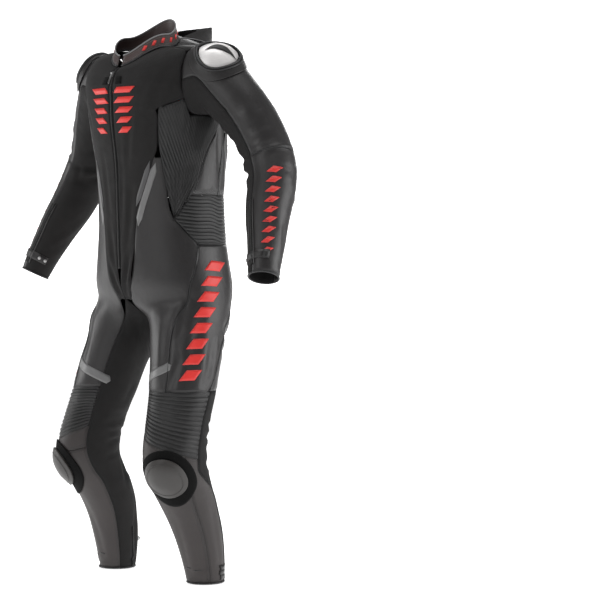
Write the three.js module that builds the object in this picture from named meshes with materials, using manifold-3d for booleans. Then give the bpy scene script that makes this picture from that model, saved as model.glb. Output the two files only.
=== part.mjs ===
// A one-piece motorcycle race suit, filled out as it is worn, empty inside.
// Millimetres, +Z up, the front faces -Y, the wearer's left is +X.
// The origin lies on the body's axis between the shoulders, where the wearer holds the suit up.
import * as THREE from 'three';
import Module from 'manifold-3d';
import { mergeVertices } from 'three/addons/utils/BufferGeometryUtils.js';

const wasm = await Module();
wasm.setup();

// Walls and seams
const WALL = 2.0;
const THIN_WALL = 1.6;
const SEAM_GAP = 0.34;
const PAD_LAY = 1.9;
const RIB_HEIGHT = 2.6;
const RIB_COUNT = { side: 9, blade: 14, waist: 8, knee: 13 };

// Main fittings
const ZIP_HALF = 6;
const COLLAR_HEIGHT = { front: 27, back: 36 };
const COLLAR_LEAN = 7;
const SLIDER_THICK = 15;
const PLATE_THICK = 3.2;

const DEG = Math.PI / 180;

// The rings below the shoulders are a little squarer than ovals.
const RING_BEND = 0.9;
// The inner leg panel hangs lower at the crotch and evens out over three rings.
const CROTCH_DIP = { depth: 26, rings: 3 };

const COLOURS = {
  stretch: ['#2b2b2b', 0.85, 0],
  leather: ['#3d3b3b', 0.5, 0],
  shin: ['#463f3d', 0.55, 0],
  ribs: ['#2f2f30', 0.7, 0],
  metal: ['#dedad6', 0.25, 0.9],
  rubber: ['#3b3937', 0.45, 0],
  fuzz: ['#141414', 0.95, 0],
  zip: ['#1a1a1a', 0.6, 0],
};

// Rings of the left half, from the neck down to the ankle. zf, zs and zb are the heights at the
// front, side and back; the ring's centre is (cx, cy), its half width a, its depths front and back f, b.
// On a leg the outer panels reach turnF and turnB degrees past the front and back towards the crotch.
const RINGS = [
  { zf: -54, zs: -4, zb: 40, cx: 0, cy: -54, a: 84, f: 88, b: 84 },
  { zf: -66, zs: -5, zb: 26, cx: 0, cy: -48, a: 138, f: 109, b: 114 },
  { zf: -82, zs: -14, zb: -2, cx: 0, cy: -34, a: 188, f: 130, b: 138 },
  { zf: -104, zs: -52, zb: -48, cx: 0, cy: -24, a: 205, f: 146, b: 146 },
  { zf: -130, zs: -94, zb: -92, cx: 0, cy: -19, a: 209, f: 151, b: 148 },
  { zf: -155, zs: -138, zb: -138, cx: 0, cy: -15, a: 205, f: 154, b: 146 },
  { zf: -180, zs: -180, zb: -180, cx: 0, cy: -12, a: 198, f: 156, b: 143 },
  { zf: -220, zs: -220, zb: -220, cx: 0, cy: -8, a: 192, f: 156, b: 142 },
  { zf: -260, zs: -260, zb: -260, cx: 0, cy: -4, a: 186, f: 154, b: 142 },
  { zf: -317, zs: -317, zb: -317, cx: 0, cy: 0, a: 178, f: 152, b: 140 },
  { zf: -380, zs: -380, zb: -380, cx: 0, cy: 0, a: 173, f: 150, b: 138 },
  { zf: -442, zs: -442, zb: -442, cx: 0, cy: 0, a: 174, f: 148, b: 140 },
  { zf: -504, zs: -504, zb: -504, cx: 0, cy: 0, a: 181, f: 146, b: 142 },
  { zf: -567, zs: -567, zb: -567, cx: 0, cy: 0, a: 192, f: 144, b: 148 },
  { zf: -610, zs: -610, zb: -610, cx: 0, cy: 0, a: 200, f: 138, b: 152 },
  { zf: -645, zs: -645, zb: -645, cx: 0, cy: 0, a: 206, f: 124, b: 142 },
  { zf: -700, zs: -700, zb: -700, cx: 118, cy: -14, a: 96, f: 104, b: 112, turnF: 45, turnB: 25 },
  { zf: -754, zs: -754, zb: -754, cx: 130, cy: -28, a: 90, f: 98, b: 100, turnF: 42, turnB: 22 },
  { zf: -816, zs: -816, zb: -816, cx: 145, cy: -48, a: 86, f: 92, b: 92, turnF: 42, turnB: 20 },
  { zf: -879, zs: -879, zb: -879, cx: 155, cy: -65, a: 82, f: 89, b: 87, turnF: 43, turnB: 15 },
  { zf: -941, zs: -941, zb: -941, cx: 164, cy: -86, a: 79, f: 85, b: 82, turnF: 45, turnB: 10 },
  { zf: -1004, zs: -1004, zb: -1004, cx: 172, cy: -104, a: 77, f: 84, b: 83, turnF: 48, turnB: 10 },
  { zf: -1050, zs: -1050, zb: -1050, cx: 174, cy: -106, a: 77, f: 85, b: 83, turnF: 52, turnB: 10 },
  { zf: -1090, zs: -1090, zb: -1090, cx: 170, cy: -92, a: 75, f: 84, b: 82, turnF: 55, turnB: 10 },
  { zf: -1128, zs: -1128, zb: -1128, cx: 165, cy: -72, a: 73, f: 78, b: 80, turnF: 58, turnB: 10 },
  { zf: -1191, zs: -1191, zb: -1191, cx: 166, cy: -45, a: 66, f: 66, b: 74, turnF: 60, turnB: 10 },
  { zf: -1253, zs: -1253, zb: -1253, cx: 171, cy: -27, a: 59, f: 57, b: 68, turnF: 60, turnB: 10 },
  { zf: -1316, zs: -1316, zb: -1316, cx: 175, cy: -15, a: 52, f: 50, b: 58, turnF: 60, turnB: 10 },
  { zf: -1360, zs: -1360, zb: -1360, cx: 178, cy: -10, a: 47, f: 47, b: 50, turnF: 60, turnB: 10 },
];
const NECK = 0;
const ARMPIT = 6;
const SHOULDER_TIP = 2;
const ZIP_END = 13;
const CROTCH = 15;
const HEM = 28;

// Rings of the left sleeve below the armhole: the centre, the radius across and the radius deep.
// The first three lean less steeply than the arm does, as degrees below the level, to round the shoulder.
const ARM_RINGS = [
  { x: 228, y: -8, z: -92, across: 84, deep: 78, lean: 12 },
  { x: 256, y: 8, z: -130, across: 74, deep: 73, lean: 30 },
  { x: 293, y: 27, z: -178, across: 69, deep: 70, lean: 46 },
  { x: 324, y: 41, z: -228, across: 65, deep: 67 },
  { x: 347, y: 47, z: -272, across: 64, deep: 65 },
  { x: 365, y: 43, z: -312, across: 64, deep: 65 },
  { x: 382, y: 32, z: -352, across: 61, deep: 62 },
  { x: 397, y: 10, z: -402, across: 57, deep: 59 },
  { x: 414, y: -13, z: -448, across: 52, deep: 54 },
  { x: 432, y: -33, z: -496, across: 46, deep: 48 },
  { x: 447, y: -52, z: -542, across: 41, deep: 43 },
  { x: 459, y: -67, z: -584, across: 37, deep: 39 },
];
const CUFF = ARM_RINGS.length;
const LEAN_BACK = 0.12;
const AROUND = 24;

const mix = (from, to, part) => from + (to - from) * part;

function smooth(points, at) {
  // A point on the smooth curve through evenly numbered points.
  const last = points.length - 1;
  const low = Math.min(Math.max(Math.floor(at), 0), last - 1);
  const t = Math.min(Math.max(at - low, 0), 1);
  const p0 = points[Math.max(low - 1, 0)];
  const p1 = points[low];
  const p2 = points[low + 1];
  const p3 = points[Math.min(low + 2, last)];
  return p1.map((value, k) => {
    const slope1 = (p2[k] - p0[k]) / 2;
    const slope2 = (p3[k] - value) / 2;
    const t2 = t * t;
    const t3 = t2 * t;
    return (2 * t3 - 3 * t2 + 1) * value + (t3 - 2 * t2 + t) * slope1
      + (3 * t2 - 2 * t3) * p2[k] + (t3 - t2) * slope2;
  });
}

function seamAt(seam, v) {
  // A seam is a short list of [ring, u] pairs, read with straight steps between them.
  let k = 0;
  while (k < seam.length - 2 && v > seam[k + 1][0]) k += 1;
  const [v0, u0] = seam[k];
  const [v1, u1] = seam[k + 1];
  return mix(u0, u1, Math.min(Math.max((v - v0) / (v1 - v0), 0), 1));
}

function ringPoint(index, u) {
  // u runs 0 at the front centre, over the side, to 1 at the back centre; on a leg it runs from
  // the front edge of the inner leg panel to its back edge, and on to 2 across that inner panel.
  const ring = RINGS[index];
  const bend = index <= SHOULDER_TIP ? 1 : RING_BEND;
  if (ring.turnF === undefined) {
    if (u > 1) {
      const back = ring.cy + ring.b;
      return [0, mix(back, ring.cy - ring.f, u - 1), ring.zs];
    }
    const angle = Math.PI * u;
    const front = Math.cos(angle);
    const depth = front > 0 ? -ring.f : ring.b;
    const end = front > 0 ? ring.zf : ring.zb;
    const toEnd = front * front;
    return [
      ring.a * Math.sign(Math.sin(angle)) * Math.abs(Math.sin(angle)) ** bend,
      ring.cy + depth * Math.abs(front) ** bend,
      mix(ring.zs, end, toEnd),
    ];
  }
  const start = -ring.turnF * DEG;
  const finish = Math.PI + ring.turnB * DEG;
  const angle = u <= 1 ? mix(start, finish, u) : mix(finish, start + 2 * Math.PI, u - 1);
  const front = Math.cos(angle);
  return [
    ring.cx + ring.a * Math.sin(angle),
    ring.cy - (front > 0 ? ring.f : ring.b) * front,
    ring.zs,
  ];
}

function bodyPoint(u, v) {
  const columns = RINGS.map((ring, index) => ringPoint(index, u));
  const point = smooth(columns, v);
  point[0] = Math.max(point[0], SEAM_GAP / 2);
  if (u > 1 && v < CROTCH + CROTCH_DIP.rings) {
    const dip = CROTCH_DIP.depth * Math.max(0, 1 - (v - CROTCH) / CROTCH_DIP.rings);
    point[2] -= dip * Math.sin(Math.PI * (u - 1));
  }
  return point;
}

// The armhole on the left half, as a closed loop of body points: over the top, down the front,
// under the arm and up the back, a quarter of the loop each.
const ARMHOLE_FRONT = [[2, 0.40], [3, 0.355], [4, 0.345], [5, 0.355], [6, 0.40]];
const ARMHOLE_BACK = [[2, 0.60], [3, 0.645], [4, 0.655], [5, 0.645], [6, 0.60]];

function armholePoint(turn) {
  const side = AROUND / 4;
  const step = ((turn * AROUND) % AROUND + AROUND + side / 2) % AROUND;
  const quarter = Math.floor(step / side);
  const t = (step - quarter * side) / side;
  if (quarter === 0) return bodyPoint(mix(0.60, 0.40, t), SHOULDER_TIP);
  if (quarter === 1) {
    const v = mix(SHOULDER_TIP, ARMPIT, t);
    return bodyPoint(seamAt(ARMHOLE_FRONT, v), v);
  }
  if (quarter === 2) return bodyPoint(mix(0.40, 0.60, t), ARMPIT);
  const v = mix(ARMPIT, SHOULDER_TIP, t);
  return bodyPoint(seamAt(ARMHOLE_BACK, v), v);
}

function armPoint(turn, ringNumber) {
  // turn runs 0 at the top of the arm, 0.25 in front, 0.5 underneath, 0.75 behind.
  const ring = ARM_RINGS[ringNumber];
  const before = ARM_RINGS[Math.max(ringNumber - 1, 0)];
  const after = ARM_RINGS[Math.min(ringNumber + 1, ARM_RINGS.length - 1)];
  const axis = new THREE.Vector3(after.x - before.x, after.y - before.y, after.z - before.z);
  if (ring.lean !== undefined) {
    axis.set(Math.cos(ring.lean * DEG), LEAN_BACK * ringNumber, -Math.sin(ring.lean * DEG));
  }
  axis.normalize();
  const front = new THREE.Vector3(0, -1, 0);
  front.addScaledVector(axis, -front.dot(axis)).normalize();
  const top = new THREE.Vector3().crossVectors(axis, front).normalize();
  if (top.x < 0) top.negate();
  const angle = 2 * Math.PI * turn;
  const out = ring.across * Math.cos(angle);
  const ahead = ring.deep * Math.sin(angle);
  return [
    ring.x + top.x * out + front.x * ahead,
    ring.y + top.y * out + front.y * ahead,
    ring.z + top.z * out + front.z * ahead,
  ];
}

function sleevePoint(turn, v) {
  const wrapped = turn - Math.floor(turn);
  const columns = [armholePoint(wrapped)];
  for (let k = 0; k < ARM_RINGS.length; k += 1) columns.push(armPoint(wrapped, k));
  return smooth(columns, v);
}

// The surfaces that the panels are cut from. Facing is 1 where u across v points outward.
const BODY_LEVELS = [...levelsOf(0, 6, 0.5), 7, 8, 8.5, ...levelsOf(9, 15, 1), 15.5, ...levelsOf(16, 19, 1),
  ...levelsOf(19.5, 24, 0.5), ...levelsOf(25, 28, 1)];
const SLEEVE_LEVELS = [0.5, 1, 1.5, 2, 3, 4, 5, 5.5, 6, 7, 8, 9, 10, 11];
const BODY = { at: bodyPoint, facing: -1, levels: BODY_LEVELS };
const SLEEVE = { at: sleevePoint, facing: 1, levels: SLEEVE_LEVELS };

function levelsOf(first, last, step) {
  return Array.from({ length: (last - first) / step + 1 }, (unused, k) => first + k * step);
}

function normalAt(surface, u, v) {
  const du = 0.004;
  const dv = 0.02;
  const a = surface.at(u + du, v);
  const b = surface.at(u - du, v);
  const c = surface.at(u, v + dv);
  const d = surface.at(u, v - dv);
  const along = new THREE.Vector3(a[0] - b[0], a[1] - b[1], a[2] - b[2]);
  const down = new THREE.Vector3(c[0] - d[0], c[1] - d[1], c[2] - d[2]);
  return along.cross(down).multiplyScalar(surface.facing).normalize();
}

function wallMesh(outer, inner) {
  // Closes two grids of points of the same size into one wall with a rim all round.
  const rows = outer.length;
  const columns = outer[0].length;
  const positions = [];
  const index = [];
  const add = (grid) => grid.forEach((row) => row.forEach((p) => positions.push(p[0], p[1], p[2])));
  add(outer);
  add(inner);
  const shift = rows * columns;
  const at = (j, i) => j * columns + i;
  const quad = (a, b, c, d) => index.push(a, b, c, a, c, d);
  for (let j = 0; j < rows - 1; j += 1) {
    for (let i = 0; i < columns - 1; i += 1) {
      quad(at(j, i), at(j, i + 1), at(j + 1, i + 1), at(j + 1, i));
      quad(shift + at(j, i), shift + at(j + 1, i), shift + at(j + 1, i + 1), shift + at(j, i + 1));
    }
  }
  const rim = [];
  for (let i = 0; i < columns; i += 1) rim.push(at(0, i));
  for (let j = 1; j < rows; j += 1) rim.push(at(j, columns - 1));
  for (let i = columns - 2; i >= 0; i -= 1) rim.push(at(rows - 1, i));
  for (let j = rows - 2; j > 0; j -= 1) rim.push(at(j, 0));
  for (let k = 0; k < rim.length; k += 1) {
    const here = rim[k];
    const next = rim[(k + 1) % rim.length];
    quad(here, shift + here, shift + next, next);
  }
  return closedGeometry(positions, index);
}

function closedGeometry(positions, index) {
  let volume = 0;
  const p = (k) => new THREE.Vector3(positions[3 * k], positions[3 * k + 1], positions[3 * k + 2]);
  for (let k = 0; k < index.length; k += 3) {
    volume += p(index[k]).dot(p(index[k + 1]).cross(p(index[k + 2])));
  }
  const facing = volume > 0 ? index : index.slice().reverse();
  const geometry = new THREE.BufferGeometry();
  geometry.setAttribute('position', new THREE.Float32BufferAttribute(positions, 3));
  geometry.setIndex(facing);
  return geometry;
}

function pulledIn(grid, gap) {
  // Moves the edge points of a panel inward by half the seam gap.
  const rows = grid.length;
  const columns = grid[0].length;
  const toward = (p, q) => {
    const step = new THREE.Vector3(q[0] - p[0], q[1] - p[1], q[2] - p[2]);
    step.setLength(Math.min(gap / 2, step.length() / 3));
    return [p[0] + step.x, p[1] + step.y, p[2] + step.z];
  };
  const result = grid.map((row) => row.map((p) => p.slice()));
  for (let j = 0; j < rows; j += 1) {
    result[j][0] = toward(result[j][0], grid[j][1]);
    result[j][columns - 1] = toward(result[j][columns - 1], grid[j][columns - 2]);
  }
  for (let i = 0; i < columns; i += 1) {
    result[0][i] = toward(result[0][i], result[1][i]);
    result[rows - 1][i] = toward(result[rows - 1][i], result[rows - 2][i]);
  }
  return result;
}

// One panel: side seams left and right, edges top and bottom, all in the surface's own numbers.
// raise(s, t) lifts the outer points over the plain inner ones.
function panel(surface, shape) {
  const { left, right, top, bottom, columns, rows } = shape;
  const wall = shape.wall ?? WALL;
  const gap = shape.gap ?? SEAM_GAP;
  const topAt = typeof top === 'number' ? () => top : top;
  const bottomAt = typeof bottom === 'number' ? () => bottom : bottom;
  const leftAt = typeof left === 'number' ? () => left : (v) => seamAt(left, v);
  const rightAt = typeof right === 'number' ? () => right : (v) => seamAt(right, v);
  // Neighbours share the surface's levels along a seam; a ribbed panel has even rows of its own,
  // and a slanted top edge has lead rows down to the first shared level.
  const highest = Math.max(topAt(0), topAt(1), topAt(0.5));
  const lowest = Math.min(bottomAt(0), bottomAt(1), bottomAt(0.5));
  const lead = shape.lead ?? { to: highest, rows: 0 };
  const start = Math.max(highest, lead.to) + 0.1;
  const between = surface.levels.filter((level) => level > start && level < lowest - 0.1);
  if (lead.rows > 0) between.unshift(lead.to);
  const first = Math.max(lead.rows, 1);
  const count = rows ?? between.length + (lead.rows > 0 ? lead.rows : 1);
  const levelAt = (j, s) => {
    if (rows) return mix(topAt(s), bottomAt(s), j / rows);
    if (j === count) return bottomAt(s);
    return j < first ? mix(topAt(s), between[0], j / first) : between[j - first];
  };
  const cells = [];
  for (let j = 0; j <= count; j += 1) {
    const row = [];
    for (let i = 0; i <= columns; i += 1) {
      const s = i / columns;
      const v = levelAt(j, s);
      const u = mix(leftAt(v), rightAt(v), s);
      row.push({ point: surface.at(u, v), normal: normalAt(surface, u, v), s, t: j / count });
    }
    cells.push(row);
  }
  const flat = pulledIn(cells.map((row) => row.map((cell) => cell.point)), gap);
  const least = surface === BODY ? SEAM_GAP / 2 : -Infinity;
  const moved = (distanceOf) => cells.map((row, j) => row.map((cell, i) => {
    const distance = distanceOf(cell);
    const n = cell.normal;
    const p = flat[j][i];
    return [Math.max(p[0] + n.x * distance, least), p[1] + n.y * distance, p[2] + n.z * distance];
  }));
  const raise = shape.raise ?? (() => 0);
  return wallMesh(moved((cell) => raise(cell.s, cell.t)), moved(() => -wall));
}

// An oval piece laid on a surface, domed towards its middle.
function ovalPatch(surface, shape) {
  const { u, v, halfU, halfV, hole, rings, around, lay, edge, dome } = shape;
  const positions = [];
  const index = [];
  const place = (r, k, height) => {
    const angle = (2 * Math.PI * k) / around;
    const across = u + halfU * r * Math.cos(angle);
    const down = v + halfV * r * Math.sin(angle);
    const point = surface.at(across, down);
    const normal = normalAt(surface, across, down);
    positions.push(point[0] + normal.x * height, point[1] + normal.y * height, point[2] + normal.z * height);
  };
  const heightAt = (r) => lay + edge + dome * (1 - r * r);
  const profile = [];
  for (let k = 0; k <= rings; k += 1) profile.push([mix(hole, 1, k / rings), true]);
  for (let k = rings; k >= 0; k -= 1) profile.push([mix(hole, 1, k / rings), false]);
  const closedMiddle = hole === 0;
  const loops = [];
  profile.forEach(([r, upper]) => {
    const height = upper ? heightAt(r) : lay;
    if (closedMiddle && r === 0) {
      loops.push([positions.length / 3]);
      place(0, 0, height);
      return;
    }
    const first = positions.length / 3;
    for (let k = 0; k < around; k += 1) place(r, k, height);
    loops.push(Array.from({ length: around }, (unused, k) => first + k));
  });
  const join = (a, b) => {
    for (let k = 0; k < around; k += 1) {
      const n = (k + 1) % around;
      if (a.length === 1) index.push(a[0], b[k], b[n]);
      else if (b.length === 1) index.push(a[k], b[0], a[n]);
      else index.push(a[k], b[k], b[n], a[k], b[n], a[n]);
    }
  };
  for (let k = 0; k < loops.length - 1; k += 1) join(loops[k], loops[k + 1]);
  if (!closedMiddle) join(loops[loops.length - 1], loops[0]);
  return closedGeometry(positions, index);
}

function mirrored(geometry) {
  const copy = geometry.clone();
  const position = copy.getAttribute('position');
  for (let k = 0; k < position.count; k += 1) position.setX(k, -position.getX(k));
  const index = Array.from(copy.getIndex().array).reverse();
  copy.setIndex(index);
  return copy;
}

const suit = new THREE.Group();

function material(finish) {
  const [color, roughness, metalness] = COLOURS[finish];
  return new THREE.MeshStandardMaterial({ color, roughness, metalness });
}

function addPiece(name, geometry, finish) {
  const mesh = new THREE.Mesh(geometry, material(finish));
  mesh.name = name;
  suit.add(mesh);
}

function addPair(name, geometry, finish) {
  addPiece(`${name}_l`, geometry, finish);
  addPiece(`${name}_r`, mirrored(geometry), finish);
}

// Ribs: a row of rounded ridges across a panel, flat at its outer edge.
function ribs(count, along, slant) {
  return (s, t) => {
    const across = along === 'down' ? s : t;
    const other = along === 'down' ? t : s;
    const fade = Math.min(1, 8 * other, 8 * (1 - other)) * Math.min(1, 6 * across, 6 * (1 - across));
    return RIB_HEIGHT * fade * (0.5 - 0.5 * Math.cos(2 * Math.PI * (count * across + slant * other)));
  };
}

// Seams on the left half, as [ring, u] pairs.
const KNEE_SIDE = 0.62;
const ZIP_SIDE = [[0, 0.026], [1, 0.0155], [2, 0.0115], [3, 0.0078], [ZIP_END, 0.0078],
  [ZIP_END + 1, 0.0012], [CROTCH, 0.0012]];
const FRONT_EDGE = [[0, 0.42], [1, 0.42], [2, 0.40], [3, 0.355], [4, 0.345], [5, 0.355],
  [5.5, 0.235], [8, 0.228], [9, 0.19], [10, 0.148], [11, 0.108], [12, 0.09], [13, 0.07],
  [14, 0.05], [15, 0.03]];
const HIP_FRONT = [...FRONT_EDGE.slice(6), [16, 0]];
const RIB_FRONT = [[5.5, 0.235], [8, 0.236], [9, 0.255], [10, 0.285], [11, 0.316]];
const RIB_BACK = [[6, 0.60], [7, 0.55], [8, 0.50], [9, 0.46], [10, 0.415], [11, 0.32]];
const WAIST_FRONT = [[10, 0.415], [11, 0.32], [12, 0.44]];
const SIDE_SEAM = [[12, 0.44], [13, 0.405], [14, 0.36], [15, 0.33], [16, 0.31], [17, 0.27],
  [19, 0.262]];
const SEAT_SEAM = [[12, 0.76], [14, 0.72], [16, 0.69], [18, 0.65], [18.9, KNEE_SIDE]];
const BLADE_OUT = [[0, 0.64], [2, 0.67], [3, 0.69], [5, 0.69], [6, 0.67], [7, 0.63]];
const BLADE_IN = [[0, 0.71], [2, 0.74], [3, 0.765], [5, 0.765], [6, 0.735], [7, 0.69]];
const SLEEVE_BACK = [[0, 0.60], [2, 0.60], [3, 0.645], [4, 0.655], [5, 0.645], [6, 0.60]];
const HIP_BACK = [[8, 0.236], [9, 0.255], [10, 0.285], [11, 0.316], [12, 0.44], [13, 0.405],
  [14, 0.36], [15, 0.33], [16, 0.31], [17, 0.27], [19, 0.262]];
const CALF_SIDE = 0.78;
const SHIN_SIDE = 0.5;
const CALF_SEAM = [[18.9, KNEE_SIDE], [22.5, KNEE_SIDE], [24, CALF_SIDE], [28, CALF_SIDE]];
const BACK_CENTRE = 0.9985;

// The top edge of the side ribs climbs to a peak in front of the armhole, then runs under it.
const RIB_TOP = [[0, 5.5], [0.35, 5], [0.45, 6], [1, 6]];
// The knee ribs and the knee cup end lower on the outside of the leg than on the inside.
const KNEE_TOP = 18.9;
const kneeBottom = (u) => 20.5 + 2 * u;
const cupBottom = (u) => 21.5 + 2 * u;

function addTorso() {
  addPair('front_centre', panel(BODY, {
    left: ZIP_SIDE, right: FRONT_EDGE, top: 0, bottom: CROTCH, columns: 3,
  }), 'stretch');
  addPair('side_ribs', panel(BODY, {
    left: RIB_FRONT, right: RIB_BACK, top: (s) => seamAt(RIB_TOP, s), bottom: 11,
    columns: 20, raise: ribs(RIB_COUNT.side, 'down', 0), wall: THIN_WALL, gap: 0.8,
  }), 'ribs');
  addPair('side_back', panel(BODY, {
    left: RIB_BACK, right: [[6, 0.67], [7, 0.63], [8, 0.62], [10, 0.60]], top: 6, bottom: 10, columns: 3,
  }), 'leather');
  addPair('shoulder_yoke', panel(BODY, {
    left: FRONT_EDGE, right: 0.60, top: NECK, bottom: SHOULDER_TIP, columns: 5,
  }), 'leather');
  addPair('shoulder_back', panel(BODY, {
    left: SLEEVE_BACK, right: BLADE_OUT, top: NECK, bottom: ARMPIT, columns: 2, gap: 0.6,
  }), 'leather');
  addPair('blade_ribs', panel(BODY, {
    left: BLADE_OUT, right: BLADE_IN, top: 0, bottom: 7, gap: 0.7,
    columns: 3, rows: 28, raise: ribs(RIB_COUNT.blade, 'across', 0.8), wall: THIN_WALL,
  }), 'ribs');
  addPair('back', panel(BODY, {
    left: [[0, 0.71], [2, 0.74], [3, 0.765], [5, 0.765], [6, 0.735], [7, 0.69], [7.01, 0.63],
      [8, 0.62], [10, 0.60]],
    right: BACK_CENTRE, top: 0, bottom: 10, columns: 4,
  }), 'leather');
  addPair('waist_ribs', panel(BODY, {
    left: WAIST_FRONT, right: BACK_CENTRE, top: 10, bottom: 12, gap: 1.4,
    columns: 7, rows: 16, raise: ribs(RIB_COUNT.waist, 'across', 0.4), wall: THIN_WALL,
  }), 'ribs');
}

function addLegs() {
  addPair('hip_front', panel(BODY, {
    left: HIP_FRONT, right: HIP_BACK, top: 8.5, bottom: KNEE_TOP, columns: 4,
  }), 'leather');
  addPair('thigh_outer', panel(BODY, {
    left: SIDE_SEAM, right: SEAT_SEAM, top: 12, bottom: KNEE_TOP, columns: 4,
  }), 'leather');
  addPair('seat', panel(BODY, {
    left: SEAT_SEAM, right: [[12, BACK_CENTRE], [15, BACK_CENTRE], [16, 1], [20, 1]],
    top: 12, bottom: KNEE_TOP, columns: 4,
  }), 'leather');
  addPair('inner_leg', panel(BODY, {
    left: 1, right: 2, top: CROTCH, bottom: HEM, columns: 5,
  }), 'stretch');
  addPair('knee_ribs', panel(BODY, {
    left: 0, right: KNEE_SIDE, top: KNEE_TOP, bottom: (s) => kneeBottom(s * KNEE_SIDE), gap: 0.8,
    columns: 5, rows: 26, raise: ribs(RIB_COUNT.knee, 'across', 0), wall: THIN_WALL,
  }), 'ribs');
  addPair('knee_back', panel(BODY, {
    left: CALF_SEAM, right: 1, top: KNEE_TOP, bottom: HEM, columns: 3, gap: 0.8,
  }), 'stretch');
  addPair('knee_cup', panel(BODY, {
    left: 0, right: SHIN_SIDE, top: (s) => kneeBottom(s * SHIN_SIDE), bottom: (s) => cupBottom(s * SHIN_SIDE),
    columns: 5, rows: 2, gap: 0.8,
  }), 'leather');
  addPair('shin', panel(BODY, {
    left: 0, right: SHIN_SIDE, top: (s) => cupBottom(s * SHIN_SIDE), bottom: HEM, columns: 5,
    lead: { to: 24, rows: 5 },
  }), 'shin');
  addPair('calf', panel(BODY, {
    left: SHIN_SIDE, right: CALF_SEAM, top: (s) => kneeBottom(mix(SHIN_SIDE, KNEE_SIDE, s)), bottom: HEM,
    columns: 2,
  }), 'shin');
}

// The sleeve's two long seams run near the front and the back of the arm; the outer half is cut at the elbow.
const SLEEVE_TOP = 0.08;
const ELBOW = 5.5;
const OUTER_HALF = { left: -0.27, right: 0.24, columns: 10 };
const INNER_HALF = { left: 0.24, right: 0.73, columns: 8 };
const PLATE_SEAT = { u: 0.055, v: 1.2, around: 20, rings: 3 };
const SURROUND = { halfU: 0.175, halfV: 0.98, hole: 0.66, lay: PAD_LAY, edge: 2, dome: 9 };
const PLATE = { halfU: 0.11, halfV: 0.63, hole: 0, lay: 2, edge: PLATE_THICK, dome: 6 };

function addSleeves() {
  addPair('sleeve_upper', panel(SLEEVE, { ...OUTER_HALF, top: SLEEVE_TOP, bottom: ELBOW }), 'leather');
  addPair('sleeve_inner', panel(SLEEVE, { ...INNER_HALF, top: SLEEVE_TOP, bottom: CUFF }), 'stretch');
  addPair('forearm', panel(SLEEVE, { ...OUTER_HALF, top: ELBOW, bottom: CUFF }), 'leather');
  addPair('plate_surround', ovalPatch(SLEEVE, { ...PLATE_SEAT, ...SURROUND }), 'leather');
  addPair('shoulder_plate', ovalPatch(SLEEVE, { ...PLATE_SEAT, ...PLATE }), 'metal');
}

// The collar stands on the neck ring: w runs from the zip round the left side to the back at 1 and
// on round the right side to the zip at 2.
function collarPoint(w, height) {
  const u = w <= 1 ? w : 2 - w;
  const side = w <= 1 ? 1 : -1;
  const base = ringPoint(NECK, u);
  const ring = RINGS[NECK];
  const inward = COLLAR_LEAN * height;
  const dx = base[0] / ring.a;
  const dy = (base[1] - ring.cy) / ring.f;
  return [side * (base[0] - inward * dx), base[1] - inward * dy, base[2] + 2 + mix(COLLAR_HEIGHT.front, COLLAR_HEIGHT.back, u) * height];
}

function addCollar() {
  const surface = { at: collarPoint, facing: 1, levels: [] };
  addPiece('collar', panel(surface, {
    left: 0.03, right: 1.97, top: 0.01, bottom: 1, columns: 22, rows: 2,
  }), 'leather');
}

// The hump behind the neck. Its seam on the back is a list of [ring, u] pairs; its ridge runs
// straight down, close to the back at its lower end.
const HUMP_SEAM = [[0.2, 0.74], [1.7, 0.794], [2.8, 0.826], [4.6, 0.872], [6.3, 0.92], [8.1, 0.955]];
const HUMP_TOP_U = 0.74;
const HUMP_LIFT = 3.4;
const HUMP_LIFT_TOP = 5;
const HUMP_BULGE = 8;
const HUMP_CROWN = 11;
const RIDGE_CROWN = 2.5;
const RIDGE_TOP = { half: 29, y: 144, z: 64 };
const RIDGE_END = { half: 21, y: 147, z: -275 };

function lifted(u, v, height) {
  const point = bodyPoint(u, v);
  const normal = normalAt(BODY, u, v);
  return [point[0] + normal.x * height, point[1] + normal.y * height, point[2] + normal.z * height];
}

function ridgePoint(w, t) {
  return [
    w * mix(RIDGE_TOP.half, RIDGE_END.half, t),
    mix(RIDGE_TOP.y, RIDGE_END.y, t) + RIDGE_CROWN * (1 - w * w),
    mix(RIDGE_TOP.z, RIDGE_END.z, t),
  ];
}

function humpSide(s, t) {
  const v = mix(HUMP_SEAM[0][0], HUMP_SEAM[5][0], t);
  const seam = lifted(seamAt(HUMP_SEAM, v), v, HUMP_LIFT + HUMP_LIFT_TOP * (1 - t) ** 3);
  const ridge = ridgePoint(1, t);
  const bulge = HUMP_BULGE * Math.sin(Math.PI * s) * (1 - t) ** 2;
  return [
    mix(seam[0], ridge[0], s) + bulge,
    mix(seam[1], ridge[1], s) + bulge,
    mix(seam[2], ridge[2], s) + bulge,
  ];
}

function humpMiddle(w, t) {
  if (t > 1) return ridgePoint(w, t - 1);
  const side = Math.sign(w) || 1;
  const front = lifted(1 - (1 - HUMP_TOP_U) * Math.abs(w), HUMP_SEAM[0][0], HUMP_LIFT + HUMP_LIFT_TOP);
  const rear = ridgePoint(w, 0);
  const crown = HUMP_CROWN * (1 - w * w) * Math.sin(Math.PI * t);
  return [mix(side * front[0], rear[0], t), mix(front[1], rear[1], t), mix(front[2], rear[2], t) + crown];
}

function addHump() {
  const side = { at: humpSide, facing: 1, levels: [] };
  addPair('hump_side', panel(side, {
    left: 0, right: 1, top: 0, bottom: 1, columns: 3, rows: 9,
  }), 'stretch');
  const middle = { at: humpMiddle, facing: 1, levels: [] };
  addPiece('hump_spine', panel(middle, {
    left: -1, right: 1, top: 0, bottom: 2, columns: 6, rows: 12,
  }), 'leather');
}

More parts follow.
